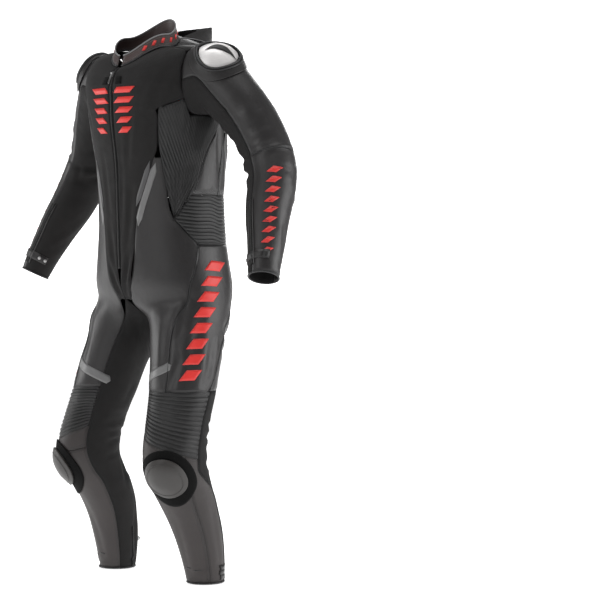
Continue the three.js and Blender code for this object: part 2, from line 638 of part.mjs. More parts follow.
// Knee: a hook-and-loop pad with the rigid slider on it, both on the outer front of the knee.
const KNEE_SEAT = { u: 0.34, v: 22.85, around: 20, rings: 3 };
const PAD = { halfU: 0.24, halfV: 1.65, hole: 0.45, lay: PAD_LAY, edge: 1.8, dome: 0 };
const PUCK = { halfU: 0.165, halfV: 1.22, hole: 0, lay: 4.8, edge: 6, dome: SLIDER_THICK - 6 };

function addKnees() {
  addPair('knee_pad', ovalPatch(BODY, { ...KNEE_SEAT, ...PAD }), 'fuzz');
  addPair('knee_slider', ovalPatch(BODY, { ...KNEE_SEAT, ...PUCK }), 'rubber');
}

// Zip fittings, built with the pin along X, the cloth behind at Y = 0 and the zip running down -Z.
const SLIDER_BODY = { wide: 8, thick: 2.5, tall: 11, lift: 0.5 };
const PIN_OUT = 5.4;
const PIN_RADIUS = 0.8;
const EAR = { near: 3.1, far: 4.4, low: -1.6, high: 2.6, top: 7 };
const TAB = { wide: 5.2, thick: 1.6, length: 30, eye: 2.1, bore: 1.15, taper: 0.9, slot: 1.1, slotTop: 13.5 };

function solidOf(geometry) {
  const bare = geometry.clone();
  bare.deleteAttribute('normal');
  bare.deleteAttribute('uv');
  const merged = mergeVertices(bare, 1e-4);
  const index = merged.getIndex().array;
  return new wasm.Manifold(new wasm.Mesh({
    numProp: 3,
    vertProperties: Float32Array.from(merged.getAttribute('position').array),
    triVerts: Uint32Array.from(index),
  }));
}

function geometryOf(solid) {
  const mesh = solid.getMesh();
  const geometry = new THREE.BufferGeometry();
  geometry.setAttribute('position', new THREE.Float32BufferAttribute(Array.from(mesh.vertProperties), 3));
  geometry.setIndex(Array.from(mesh.triVerts));
  return geometry;
}

function block(x0, x1, y0, y1, z0, z1) {
  const box = new THREE.BoxGeometry(x1 - x0, y1 - y0, z1 - z0);
  return box.translate((x0 + x1) / 2, (y0 + y1) / 2, (z0 + z1) / 2);
}

function pinAlongX(radius, half, sides) {
  const pin = new THREE.CylinderGeometry(radius, radius, 2 * half, sides);
  return pin.rotateZ(Math.PI / 2).translate(0, -PIN_OUT, 0.5);
}

function sliderGeometry() {
  const { wide, thick, tall, lift } = SLIDER_BODY;
  const base = solidOf(block(-wide / 2, wide / 2, -lift - thick, -lift, -tall / 2, tall / 2));
  const ears = [-1, 1].map((side) => {
    const x0 = side > 0 ? EAR.near : -EAR.far;
    return solidOf(block(x0, x0 + EAR.far - EAR.near, -EAR.top, -lift - 0.2, EAR.low, EAR.high));
  });
  const pin = solidOf(pinAlongX(PIN_RADIUS, EAR.far - 0.3, 8));
  return geometryOf(base.add(ears[0]).add(ears[1]).add(pin));
}

function tabGeometry() {
  const half = TAB.wide / 2;
  const outline = new THREE.Shape();
  outline.moveTo(-half, 0);
  outline.lineTo(half, 0);
  outline.lineTo(half * TAB.taper, -TAB.length + half);
  outline.absarc(0, -TAB.length + half, half * TAB.taper, 0, -Math.PI, true);
  const slot = new THREE.Path();
  slot.absarc(0, -TAB.slotTop, TAB.slot, 0, Math.PI, false);
  slot.absarc(0, -TAB.length + half, TAB.slot, Math.PI, 2 * Math.PI, false);
  outline.holes.push(slot);
  const cut = { depth: TAB.thick, bevelEnabled: false, curveSegments: 4 };
  const plate = new THREE.ExtrudeGeometry(outline, cut);
  plate.rotateX(Math.PI / 2).translate(0, -PIN_OUT + TAB.thick / 2, 0.5);
  const knuckle = solidOf(pinAlongX(TAB.eye, half, 12));
  const bore = solidOf(pinAlongX(TAB.bore, half + 1, 8));
  return geometryOf(solidOf(plate).add(knuckle).subtract(bore));
}

function placement(point, outward, down) {
  // Turns a fitting so that -Y points outward and -Z points down the zip.
  const back = outward.clone().negate();
  const up = down.clone().negate();
  const side = new THREE.Vector3().crossVectors(back, up).normalize();
  const straightUp = new THREE.Vector3().crossVectors(side, back).normalize();
  const matrix = new THREE.Matrix4().makeBasis(side, back, straightUp);
  return matrix.setPosition(point[0], point[1], point[2]);
}

const TAPE = { half: ZIP_HALF - 0.5, wall: 1.2 };
const SLIDER_SEAT = { top: 1, middle: 1.5, bottom: 2 };
const ANKLE_ZIP = { u: 1.27, v: 26.5, step: 0.2 };

function addZip() {
  // The tape lies between the two front panels and runs up between the collar's ends.
  const tapePoint = (w, t) => {
    const point = bodyPoint(0, t);
    return [w, point[1], point[2]];
  };
  const surface = { at: tapePoint, facing: -1, levels: levelsOf(NECK, HEM, 1) };
  addPiece('zip_tape', panel(surface, {
    left: -TAPE.half, right: TAPE.half, top: NECK, bottom: ZIP_END, columns: 1, wall: TAPE.wall,
  }), 'zip');
  // The slider leans with the tape, which slopes forward below the collar.
  const above = tapePoint(0, SLIDER_SEAT.top);
  const below = tapePoint(0, SLIDER_SEAT.bottom);
  const down = new THREE.Vector3(0, below[1] - above[1], below[2] - above[2]).normalize();
  const outward = new THREE.Vector3(0, down.z, -down.y);
  const matrix = placement(tapePoint(0, SLIDER_SEAT.middle), outward, down);
  addPiece('zip_slider', sliderGeometry().applyMatrix4(matrix), 'metal');
  addPiece('zip_pull', tabGeometry().applyMatrix4(matrix), 'metal');
}

function addAnkleZips() {
  const { u, v, step } = ANKLE_ZIP;
  const point = bodyPoint(u, v);
  const lower = bodyPoint(u, v + step);
  const down = new THREE.Vector3(lower[0] - point[0], lower[1] - point[1], lower[2] - point[2]);
  const matrix = placement(point, normalAt(BODY, u, v), down.normalize());
  addPair('ankle_slider', sliderGeometry().applyMatrix4(matrix), 'metal');
  addPair('ankle_pull', tabGeometry().applyMatrix4(matrix), 'metal');
}

addCollar();
addTorso();
addHump();
addZip();
addSleeves();
addLegs();
addKnees();
addAnkleZips();

export default suit;
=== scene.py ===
import logging
import math
from dataclasses import dataclass, field
from enum import Enum
from typing import ClassVar

import bmesh
import bpy
import numpy as np
from mathutils import Matrix, Vector
from mathutils.bvhtree import BVHTree


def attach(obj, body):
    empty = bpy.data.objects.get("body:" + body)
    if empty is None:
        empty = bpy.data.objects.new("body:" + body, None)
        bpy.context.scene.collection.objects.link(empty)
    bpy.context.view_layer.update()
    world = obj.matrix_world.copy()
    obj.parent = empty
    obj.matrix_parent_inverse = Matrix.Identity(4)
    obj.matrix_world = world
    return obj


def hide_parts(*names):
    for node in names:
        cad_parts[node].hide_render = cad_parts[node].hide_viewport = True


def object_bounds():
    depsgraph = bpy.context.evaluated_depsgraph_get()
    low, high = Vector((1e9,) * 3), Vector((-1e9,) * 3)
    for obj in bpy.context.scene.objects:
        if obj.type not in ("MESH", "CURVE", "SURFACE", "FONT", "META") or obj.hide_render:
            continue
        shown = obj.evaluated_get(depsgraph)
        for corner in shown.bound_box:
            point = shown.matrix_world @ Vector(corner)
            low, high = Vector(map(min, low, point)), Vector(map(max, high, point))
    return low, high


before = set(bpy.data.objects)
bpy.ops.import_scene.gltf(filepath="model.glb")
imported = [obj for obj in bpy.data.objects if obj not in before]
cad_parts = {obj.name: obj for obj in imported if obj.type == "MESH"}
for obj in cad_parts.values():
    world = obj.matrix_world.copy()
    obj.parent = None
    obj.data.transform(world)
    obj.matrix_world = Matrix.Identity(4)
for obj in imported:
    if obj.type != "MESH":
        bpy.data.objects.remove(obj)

CAD_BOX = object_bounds()
LOG = logging.getLogger("race_suit")
MM = 0.001
SUIT = "suit"

Colour = tuple[float, float, float]
Span = tuple[float, float]

SIDES = ((1, "_l"), (-1, "_r"))
ENDS = ("_l", "_r")
UP = Vector((0, 0, 1))

STITCH_PITCH = 3.6 * MM
STITCH_PART = 0.68
STITCH_HALF = 0.5 * MM
STITCH_ROWS = (2.6 * MM, 6.2 * MM)
STITCH_RISE = 0.5 * MM

DIAGONAL_TURN = math.radians(48)
RIM_TURN = math.radians(52)
MESH_STEP = 6.5 * MM
SEAM_DEPTH = 0.9 * MM
SEAM_WIDTH = 4.5 * MM
SEAM_REACH = 14 * MM
SEAM_CHUNK = 4000
FIT_ROUNDS = 3
PLEAT_STEPS = 4.0
PLEAT_EASING = 30
MOST_LEVELS = 3
PLEAT_RUN_OUT = 5 * MM
PLEAT_SHARPNESS = 2.2
TINY = 1e-12

ROUTE_STEP = 7 * MM
ZIP_PITCH = 3.0 * MM
REACH = 0.06
HEM_STEP = 8 * MM


# Finishes


class Shader:
    """A principled material whose nodes are added one by one."""

    def __init__(self, name: str) -> None:
        """Start an empty principled material called name."""
        self.material = bpy.data.materials.new(name)
        self.material.use_nodes = True
        self.tree = self.material.node_tree
        self.base = self.tree.nodes["Principled BSDF"]
        self.place = self.add("ShaderNodeTexCoord").outputs["Object"]

    def add(self, kind: str, **settings: object) -> bpy.types.Node:
        """Add one node and set its properties.

        Args:
            kind: The node's type name.
            settings: Property names and their values.

        Returns:
            The new node.
        """
        node = self.tree.nodes.new(kind)
        for name, value in settings.items():
            setattr(node, name, value)
        return node

    def feed(self, socket: bpy.types.NodeSocket, value: object) -> None:
        """Link value into socket if it is a socket, else store it there."""
        if isinstance(value, bpy.types.NodeSocket):
            self.tree.links.new(value, socket)
        else:
            socket.default_value = value

    def sum(self, operation: str, *values: object) -> bpy.types.NodeSocket:
        """Work out one arithmetic step.

        Args:
            operation: The Math node's operation.
            values: Its inputs, numbers or sockets.

        Returns:
            The result's socket.
        """
        node = self.add("ShaderNodeMath", operation=operation)
        for socket, value in zip(node.inputs, values):
            self.feed(socket, value)
        return node.outputs[0]

    def noise(self, scale: float, detail: float = 3.0, stretch: Colour | None = None) -> bpy.types.NodeSocket:
        """Make a soft noise on the piece's own place.

        Args:
            scale: Waves a metre.
            detail: Finer layers.
            stretch: A scale for each axis, where the noise runs in streaks.

        Returns:
            The noise's value, from 0 to 1.
        """
        node = self.add("ShaderNodeTexNoise")
        where = self.place
        if stretch is not None:
            mapping = self.add("ShaderNodeMapping")
            self.feed(mapping.inputs["Vector"], self.place)
            mapping.inputs["Scale"].default_value = stretch
            where = mapping.outputs[0]
        self.feed(node.inputs["Vector"], where)
        node.inputs["Scale"].default_value = scale
        node.inputs["Detail"].default_value = detail
        return node.outputs["Fac"]

    def cells(self, scale: float) -> bpy.types.NodeSocket:
        """Return the distance to the cell walls of a grain with scale cells a metre."""
        node = self.add("ShaderNodeTexVoronoi", feature="DISTANCE_TO_EDGE")
        self.feed(node.inputs["Vector"], self.place)
        node.inputs["Scale"].default_value = scale
        return node.outputs["Distance"]

    def wave(self, pitch: float, direction: str) -> bpy.types.NodeSocket:
        """Return even bands, pitch metres apart, across one axis."""
        node = self.add("ShaderNodeTexWave", bands_direction=direction)
        self.feed(node.inputs["Vector"], self.place)
        node.inputs["Scale"].default_value = 2 * math.pi / (20 * pitch)
        node.inputs["Distortion"].default_value = 0.6
        return node.outputs["Fac"]

    def attribute(self, name: str) -> bpy.types.NodeSocket:
        """Return the mesh attribute called name."""
        return self.add("ShaderNodeAttribute", attribute_name=name).outputs["Fac"]

    def blend(self, part: object, low: object, high: object) -> bpy.types.NodeSocket:
        """Mix two colours, each an RGB triple or a socket, by part."""
        node = self.add("ShaderNodeMix", data_type="RGBA")
        self.feed(node.inputs[0], part)
        for socket, value in ((node.inputs[6], low), (node.inputs[7], high)):
            self.feed(socket, (*value, 1.0) if isinstance(value, tuple) else value)
        return node.outputs[2]

    def between(self, value: object, low: float, high: float, top: float = 1.0) -> bpy.types.NodeSocket:
        """Stretch a value of 0 to top over the range from low to high."""
        node = self.add("ShaderNodeMapRange")
        self.feed(node.inputs["Value"], value)
        node.inputs["From Max"].default_value = top
        node.inputs["To Min"].default_value = low
        node.inputs["To Max"].default_value = high
        return node.outputs[0]

    def bump(self, height: object, depth: float, under: object = None) -> bpy.types.NodeSocket:
        """Turn a height of 0 to 1 into a normal.

        Args:
            height: The height's socket.
            depth: What a height of 1 is, in metres.
            under: A normal that this one lies on.

        Returns:
            The normal's socket.
        """
        node = self.add("ShaderNodeBump")
        node.inputs["Strength"].default_value = 1.0
        node.inputs["Distance"].default_value = depth
        self.feed(node.inputs["Height"], height)
        if under is not None:
            self.feed(node.inputs["Normal"], under)
        return node.outputs[0]

    def seam_rows(self) -> bpy.types.NodeSocket:
        """Return 1 on the thread of the twin stitch rows beside a panel's edge."""
        away = self.attribute("seam_away")
        run = self.sum("FRACT", self.sum("DIVIDE", self.attribute("seam_run"), STITCH_PITCH))
        dash = self.sum("LESS_THAN", run, STITCH_PART)
        rows = [self.sum("COMPARE", away, row, STITCH_HALF) for row in STITCH_ROWS]
        return self.sum("MULTIPLY", self.sum("MAXIMUM", *rows), dash)

    def paint(self, colour: bpy.types.NodeSocket) -> None:
        """Give the finish its colour."""
        self.feed(self.base.inputs["Base Color"], colour)

    def finish(self, roughness: object, normal: object, **plain: float) -> bpy.types.Material:
        """Set what every finish has.

        Args:
            roughness: A number or a socket.
            normal: The surface's normal socket.
            plain: Other inputs by name, with _ for a space.

        Returns:
            The finished material.
        """
        self.feed(self.base.inputs["Roughness"], roughness)
        self.feed(self.base.inputs["Normal"], normal)
        for name, value in plain.items():
            self.base.inputs[name.replace("_", " ")].default_value = value
        return self.material


def shaded(colour: Colour, share: float) -> Colour:
    """Return a colour with each channel times a share."""
    return tuple(share * channel for channel in colour)


@dataclass(frozen=True)
class Leather:
    """Grained cowhide with soft blotches, worn a little paler in places, stitched at its edges, and darkened
    with painted shade along its seams and in pleat valleys.
    """

    name: str
    colour: Colour
    thread: Colour
    roughness: Span = (0.3, 0.5)
    grain: float = 620.0
    coat: float = 0.06
    deep: float = 0.72
    pale: float = 1.3
    seam_shade: float = 0.35
    seam_shade_width: float = 5 * MM
    valley_shade: float = 0.18
    swell: float = 1.6 * MM
    grain_depth: float = 0.22 * MM

    def build(self) -> bpy.types.Material:
        """Make the material."""
        shader = Shader(self.name)
        blotches = shader.between(shader.noise(7.0), -0.25, 1.25)
        colour = shader.blend(blotches, shaded(self.colour, self.deep), shaded(self.colour, self.pale))
        # Painted shade: the colour darkens towards the panel's edge, where the seam's groove lies.
        seam_painted_shade = shader.between(shader.attribute("seam_away"), 0.45, 0.0, self.seam_shade_width)
        colour = shader.blend(seam_painted_shade, colour, shaded(self.colour, self.seam_shade))
        thread = shader.seam_rows()
        # Painted shade: the colour darkens in the pleat valleys, which the geometry already sinks.
        valley = shader.attribute("pleat_valley")
        colour = shader.blend(valley, colour, shaded(self.colour, self.valley_shade))
        shader.paint(shader.blend(thread, colour, self.thread))
        soft = shader.bump(shader.noise(30.0, 5.0), self.swell)
        grain = shader.bump(shader.cells(self.grain), self.grain_depth, soft)
        raised = shader.bump(thread, STITCH_RISE, grain)
        roughness = shader.between(shader.noise(15.0, 4.0), *self.roughness)
        return shader.finish(roughness, raised, Coat_Weight=self.coat, Coat_Roughness=0.3,
                             Specular_IOR_Level=0.4)


@dataclass(frozen=True)
class Stretch:
    """Matte stretch cloth with a fine slanting weave and a little sheen."""

    name: str
    colour: Colour
    thread: Colour
    weave: float = 1.6 * MM
    deep: float = 0.74
    pale: float = 1.22
    swell: float = 1.1 * MM
    weave_depth: float = 0.25 * MM

    def build(self) -> bpy.types.Material:
        """Make the material."""
        shader = Shader(self.name)
        pale = shaded(self.colour, self.pale)
        patchy = shader.blend(shader.noise(9.0, 4.0), shaded(self.colour, self.deep), pale)
        warp = shader.wave(self.weave, "DIAGONAL")
        weft = shader.wave(self.weave * 0.8, "Z")
        cloth = shader.sum("MULTIPLY", warp, weft)
        colour = shader.blend(shader.between(cloth, 0.0, 0.35), patchy, pale)
        thread = shader.seam_rows()
        shader.paint(shader.blend(thread, colour, self.thread))
        soft = shader.bump(shader.noise(26.0, 4.0), self.swell)
        woven = shader.bump(cloth, self.weave_depth, soft)
        raised = shader.bump(thread, STITCH_RISE, woven)
        roughness = shader.between(shader.noise(40.0), 0.7, 0.9)
        return shader.finish(roughness, raised, Sheen_Weight=0.015, Sheen_Roughness=0.5,
                             Specular_IOR_Level=0.2)


@dataclass(frozen=True)
class Satin:
    """A hard or coated surface: metal, moulded rubber or a reflective band, with fine marks of use."""

    name: str
    colour: Colour
    metallic: float
    roughness: Span
    streaks: Colour = (1.0, 1.0, 1.0)
    marks: float = 60.0
    depth: float = 0.1 * MM

    def build(self) -> bpy.types.Material:
        """Make the material."""
        shader = Shader(self.name)
        worn = shader.noise(self.marks, 5.0, self.streaks)
        shader.paint(shader.blend(worn, shaded(self.colour, 0.8), self.colour))
        fine = shader.bump(shader.noise(self.marks * 9, 3.0, self.streaks), self.depth)
        return shader.finish(shader.between(worn, *self.roughness), fine, Metallic=self.metallic)


@dataclass(frozen=True)
class Fuzz:
    """The looped pile of a hook-and-loop patch."""

    name: str
    colour: Colour

    def build(self) -> bpy.types.Material:
        """Make the material."""
        shader = Shader(self.name)
        loops = shader.noise(900.0, 2.0)
        shader.paint(shader.blend(loops, self.colour, shaded(self.colour, 2.2)))
        pile = shader.bump(shader.noise(420.0, 4.0), 0.8 * MM)
        return shader.finish(0.95, pile, Sheen_Weight=0.02, Sheen_Roughness=0.6, Specular_IOR_Level=0.1)


HIDE = (0.02, 0.0186, 0.019)
DARK_THREAD = (0.012, 0.012, 0.013)
GREY_THREAD = (0.1, 0.1, 0.102)


class Finish(Enum):
    """Every finish on the suit."""

    HIDE = Leather("hide", HIDE, DARK_THREAD)
    BODY_HIDE = Leather("body_hide", (0.019, 0.0178, 0.018), GREY_THREAD)
    SHIN_HIDE = Leather("shin_hide", (0.03, 0.0245, 0.0238), DARK_THREAD, (0.46, 0.62))
    RIB_HIDE = Leather("rib_hide", (0.013, 0.0126, 0.013), DARK_THREAD, (0.42, 0.6))
    SPINE_HIDE = Leather("spine_hide", (0.05, 0.05, 0.051), GREY_THREAD, (0.4, 0.55))
    CLOTH = Stretch("stretch_cloth", (0.0135, 0.0128, 0.0128), DARK_THREAD)
    TAPE = Stretch("zip_tape_weave", (0.012, 0.012, 0.012), DARK_THREAD, 1.0 * MM)
    FUZZ = Fuzz("hook_and_loop", (0.003, 0.003, 0.003))
    PLATE = Satin("plate_metal", (0.9, 0.88, 0.87), 0.45, (0.3, 0.45), (1.0, 1.0, 12.0))
    FITTING = Satin("zip_metal", (0.5, 0.5, 0.5), 0.9, (0.28, 0.42))
    PUCK = Satin("puck_rubber", (0.034, 0.031, 0.029), 0.0, (0.34, 0.5))
    NECK_HIDE = Leather("neck_hide", (0.052, 0.034, 0.032), GREY_THREAD, (0.42, 0.58))
    VENT = Satin("vent_black", (0.012, 0.012, 0.012), 0.0, (0.4, 0.6))
    SILVER = Satin("reflective_grey", (0.17, 0.17, 0.17), 0.3, (0.38, 0.55))
    DIM_SILVER = Satin("reflective_dim", (0.075, 0.075, 0.077), 0.2, (0.4, 0.58))
    RED = Satin("red_print", (0.72, 0.03, 0.024), 0.0, (0.4, 0.55))
    CORD = Satin("piping_black", (0.016, 0.016, 0.017), 0.0, (0.38, 0.55))
    PALE_CORD = Satin("piping_grey", (0.2, 0.2, 0.202), 0.0, (0.35, 0.5))

    def material(self) -> bpy.types.Material:
        """Return the finish's one material, made at its first use."""
        found = bpy.data.materials.get(self.value.name)
        return found or self.value.build()


# Cloth


@dataclass(frozen=True)
class Fold:
    """One soft crease between two places on a limb.

    Each place is how far along the limb's axis it lies, and its turn round the axis in degrees,
    0 in front and 90 on the outside. A depth below 0 is a trough and above 0 a ridge.
    """

    start: Span
    end: Span
    width: float
    depth: float
    bow: float = 0.0


def folds(*rows: tuple[float, ...]) -> list[Fold]:
    """Read folds from rows of start along, start turn, end along, end turn, width mm, depth mm, bow."""
    made = []
    for along0, turn0, along1, turn1, width, depth, *bow in rows:
        made.append(Fold((along0, turn0), (along1, turn1), width * MM, depth * MM, bow[0] if bow else 0.0))
    return made


@dataclass(frozen=True)
class Pleats:
    """Even pleats sewn into a panel.

    They run across one direction at a pitch and a depth, and sway by some way along another. A fan
    above 0 is a count of pleats that spread evenly from the panel's top edge to its bottom edge.
    """

    across: Colour
    pitch: float = 8 * MM
    depth: float = 1.9 * MM
    sway: float = 0.0
    sway_along: Colour = (0.0, 0.0, 1.0)
    sway_length: float = 60 * MM
    fan: int = 0

    def valley(self, place: np.ndarray) -> np.ndarray:
        """Return how deep in a valley each point lies, from 0 on a crest to 1.

        Args:
            place: The points, as rows.

        Returns:
            The depth's share for each point.
        """
        count = place @ np.array(self.across) / self.pitch
        wander = 2 * math.pi * place @ np.array(self.sway_along) / self.sway_length
        phase = count + self.sway * np.sin(wander) / self.pitch
        return (0.5 - 0.5 * np.cos(2 * math.pi * phase)) ** PLEAT_SHARPNESS


@dataclass(frozen=True)
class Limb:
    """The axis that a part of the body follows, as a few points in metres."""

    axis: tuple[Colour, ...]

    def ray(self, along: float, turn: float, side: int) -> tuple[Vector, Vector]:
        """Find where a place on the limb is looked for.

        Args:
            along: How far along the axis, counted in its points.
            turn: The turn round the axis in degrees.
            side: 1 on the wearer's left and -1 on the right.

        Returns:
            A point on the axis and the direction outward from it.
        """
        low = min(int(along), len(self.axis) - 2)
        first, second = Vector(self.axis[low]), Vector(self.axis[low + 1])
        point = first.lerp(second, along - low)
        angle = math.radians(turn)
        outward = Vector((math.sin(angle), -math.cos(angle), 0.0))
        line = (second - first).normalized()
        outward = (outward - line * outward.dot(line)).normalized()
        flip = Vector((side, 1, 1))
        return point * flip, outward * flip


TRUNK = Limb(((0, -0.045, -0.02), (0, -0.012, -0.18), (0, 0, -0.36), (0, 0, -0.5), (0, 0, -0.64)))
ARM = Limb(((0.236, -0.004, -0.1), (0.29, 0.022, -0.178), (0.365, 0.043, -0.312),
            (0.414, -0.013, -0.448), (0.458, -0.066, -0.58)))
LEG = Limb(((0.112, -0.01, -0.67), (0.145, -0.048, -0.816), (0.163, -0.086, -0.941),
            (0.171, -0.1, -1.06), (0.165, -0.06, -1.16), (0.175, -0.015, -1.316), (0.178, -0.01, -1.36)))


class Skin:
    """The suit's outer surface, for finding places on it."""

    def __init__(self) -> None:
        """Start with no surface."""
        self.points: list[Vector] = []
        self.faces: list[list[int]] = []
        self.tree: BVHTree | None = None

    def add(self, bm: bmesh.types.BMesh) -> None:
        """Add a panel's faces to the surface."""
        first = len(self.points)
        self.points += [vertex.co.copy() for vertex in bm.verts]
        self.faces += [[first + vertex.index for vertex in face.verts] for face in bm.faces]
        self.tree = None

    def search(self) -> BVHTree:
        """Return the search tree over all that was added."""
        if self.tree is None:
            self.tree = BVHTree.FromPolygons(self.points, self.faces)
        return self.tree

    def on(self, limb: Limb, along: float, turn: float, side: int = 1) -> tuple[Vector, Vector]:
        """Find a place on a limb and the outward direction there."""
        start, outward = limb.ray(along, turn, side)
        point, normal, *_ = self.search().ray_cast(start, outward)
        if point is None:
            return start + outward * REACH, outward
        return point, normal if normal.dot(outward) > 0 else -normal

    def under(self, point: Vector) -> tuple[Vector, Vector]:
        """Find the surface's nearest point and its outward normal."""
        found, normal, *_ = self.search().find_nearest(point)
        return found, normal


FORM = Skin()
SKIN = Skin()


def merged_copy(node: str) -> bmesh.types.BMesh:
    """Copy a node's mesh, merge its points and turn its triangles back into four-sided faces."""
    bm = bmesh.new()
    bm.from_mesh(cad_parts[node].data)
    bmesh.ops.remove_doubles(bm, verts=bm.verts, dist=0.02 * MM)
    diagonals = []
    taken: set[int] = set()
    bm.faces.index_update()
    for edge in sorted(bm.edges, key=lambda e: -e.calc_length()):
        if len(edge.link_faces) != 2 or edge.calc_face_angle(math.pi) > DIAGONAL_TURN:
            continue
        longest = all(edge.calc_length() >= max(e.calc_length() for e in face.edges) - 1e-9
                      for face in edge.link_faces)
        if longest and not any(face.index in taken for face in edge.link_faces):
            diagonals.append(edge)
            taken.update(face.index for face in edge.link_faces)
    bmesh.ops.dissolve_edges(bm, edges=diagonals, use_verts=False)
    left = [face for face in bm.faces if len(face.verts) == 3]
    bmesh.ops.join_triangles(bm, faces=left, angle_face_threshold=DIAGONAL_TURN,
                             angle_shape_threshold=math.pi)
    bm.faces.ensure_lookup_table()
    return bm


def outer_side(bm: bmesh.types.BMesh) -> None:
    """Keep only the outer face of a wall, which has the larger area of its two sides."""
    bm.faces.index_update()
    bm.faces.ensure_lookup_table()
    group = [-1] * len(bm.faces)
    sides: list[list[bmesh.types.BMFace]] = []
    for seed in bm.faces:
        if group[seed.index] >= 0:
            continue
        members, queue = [], [seed]
        group[seed.index] = len(sides)
        while queue:
            face = queue.pop()
            members.append(face)
            for edge in face.edges:
                if edge.calc_face_angle(math.pi) > RIM_TURN:
                    continue
                for other in edge.link_faces:
                    if group[other.index] < 0:
                        group[other.index] = len(sides)
                        queue.append(other)
        sides.append(members)
    sides.sort(key=lambda faces: -sum(face.calc_area() for face in faces))
    spare = [face for faces in sides[1:] for face in faces]
    bmesh.ops.delete(bm, geom=spare, context="FACES")


def placed(name: str, data: bpy.types.ID) -> bpy.types.Object:
    """Put a mesh, a light or a camera into the scene as a new object."""
    piece = bpy.data.objects.new(name, data)
    bpy.context.scene.collection.objects.link(piece)
    return piece


def thicken(piece: bpy.types.Object, wall: float, offset: int) -> None:
    """Give a surface a wall, inward for an offset of -1 and outward for 1."""
    solidify = piece.modifiers.new("wall", "SOLIDIFY")
    solidify.thickness = wall
    solidify.offset = offset


def round_off(piece: bpy.types.Object, levels: int) -> bpy.types.Modifier:
    """Halve each face of a piece, levels times over, into a smooth surface."""
    rounding = piece.modifiers.new("rounding", "SUBSURF")
    rounding.levels = rounding.render_levels = levels
    return rounding


def mesh_from(bm: bmesh.types.BMesh, name: str) -> bpy.types.Mesh:
    """Write a bmesh to a new mesh with smooth faces."""
    for face in bm.faces:
        face.smooth = True
    mesh = bpy.data.meshes.new(name)
    bm.to_mesh(mesh)
    return mesh


def evaluated(piece: bpy.types.Object) -> bpy.types.Mesh:
    """Return a new mesh with the piece's modifiers applied."""
    depsgraph = bpy.context.evaluated_depsgraph_get()
    return bpy.data.meshes.new_from_object(piece.evaluated_get(depsgraph))


def place_of(mesh: bpy.types.Mesh) -> np.ndarray:
    """Return the mesh's points as rows of x, y and z."""
    flat = np.empty(len(mesh.vertices) * 3)
    mesh.vertices.foreach_get("co", flat)
    return flat.reshape(-1, 3)


def smoothed(bm: bmesh.types.BMesh, levels: int) -> bmesh.types.BMesh:
    """Round a coarse surface so that it still passes through its own points.

    Args:
        bm: The coarse surface, which is freed.
        levels: How often each face is halved.

    Returns:
        The fine surface.
    """
    mesh = mesh_from(bm, "rounding")
    bm.free()
    piece = placed("rounding", mesh)
    round_off(piece, levels).boundary_smooth = "PRESERVE_CORNERS"
    wanted = place_of(mesh)
    cage = wanted.copy()
    for _ in range(FIT_ROUNDS):
        fine = evaluated(piece)
        cage += wanted - place_of(fine)[:len(cage)]
        bpy.data.meshes.remove(fine)
        mesh.vertices.foreach_set("co", cage.ravel())
        mesh.update()
    fine = evaluated(piece)
    result = bmesh.new()
    result.from_mesh(fine)
    bpy.data.objects.remove(piece)
    bpy.data.meshes.remove(mesh)
    bpy.data.meshes.remove(fine)
    return result


def chains(bm: bmesh.types.BMesh) -> list[list[bmesh.types.BMVert]]:
    """Split a surface's border into chains of points from one corner to the next."""
    corners = {vertex for vertex in bm.verts if vertex.is_boundary and len(vertex.link_faces) == 1}
    found = []
    used: set[bmesh.types.BMEdge] = set()
    starts = corners or {next(vertex for vertex in bm.verts if vertex.is_boundary)}
    for corner in sorted(starts, key=lambda vertex: vertex.index):
        for first in corner.link_edges:
            if not first.is_boundary or first in used:
                continue
            chain, edge = [corner], first
            while edge is not None:
                used.add(edge)
                vertex = edge.other_vert(chain[-1])
                chain.append(vertex)
                onward = [e for e in vertex.link_edges if e.is_boundary and e not in used]
                edge = onward[0] if onward and vertex not in corners else None
            found.append(chain)
    return found


def halvings(width: float, step: float) -> int:
    """Return how often faces of a mean width are halved to come near a step."""
    return min(max(round(math.log2(width / step)), 1), MOST_LEVELS)


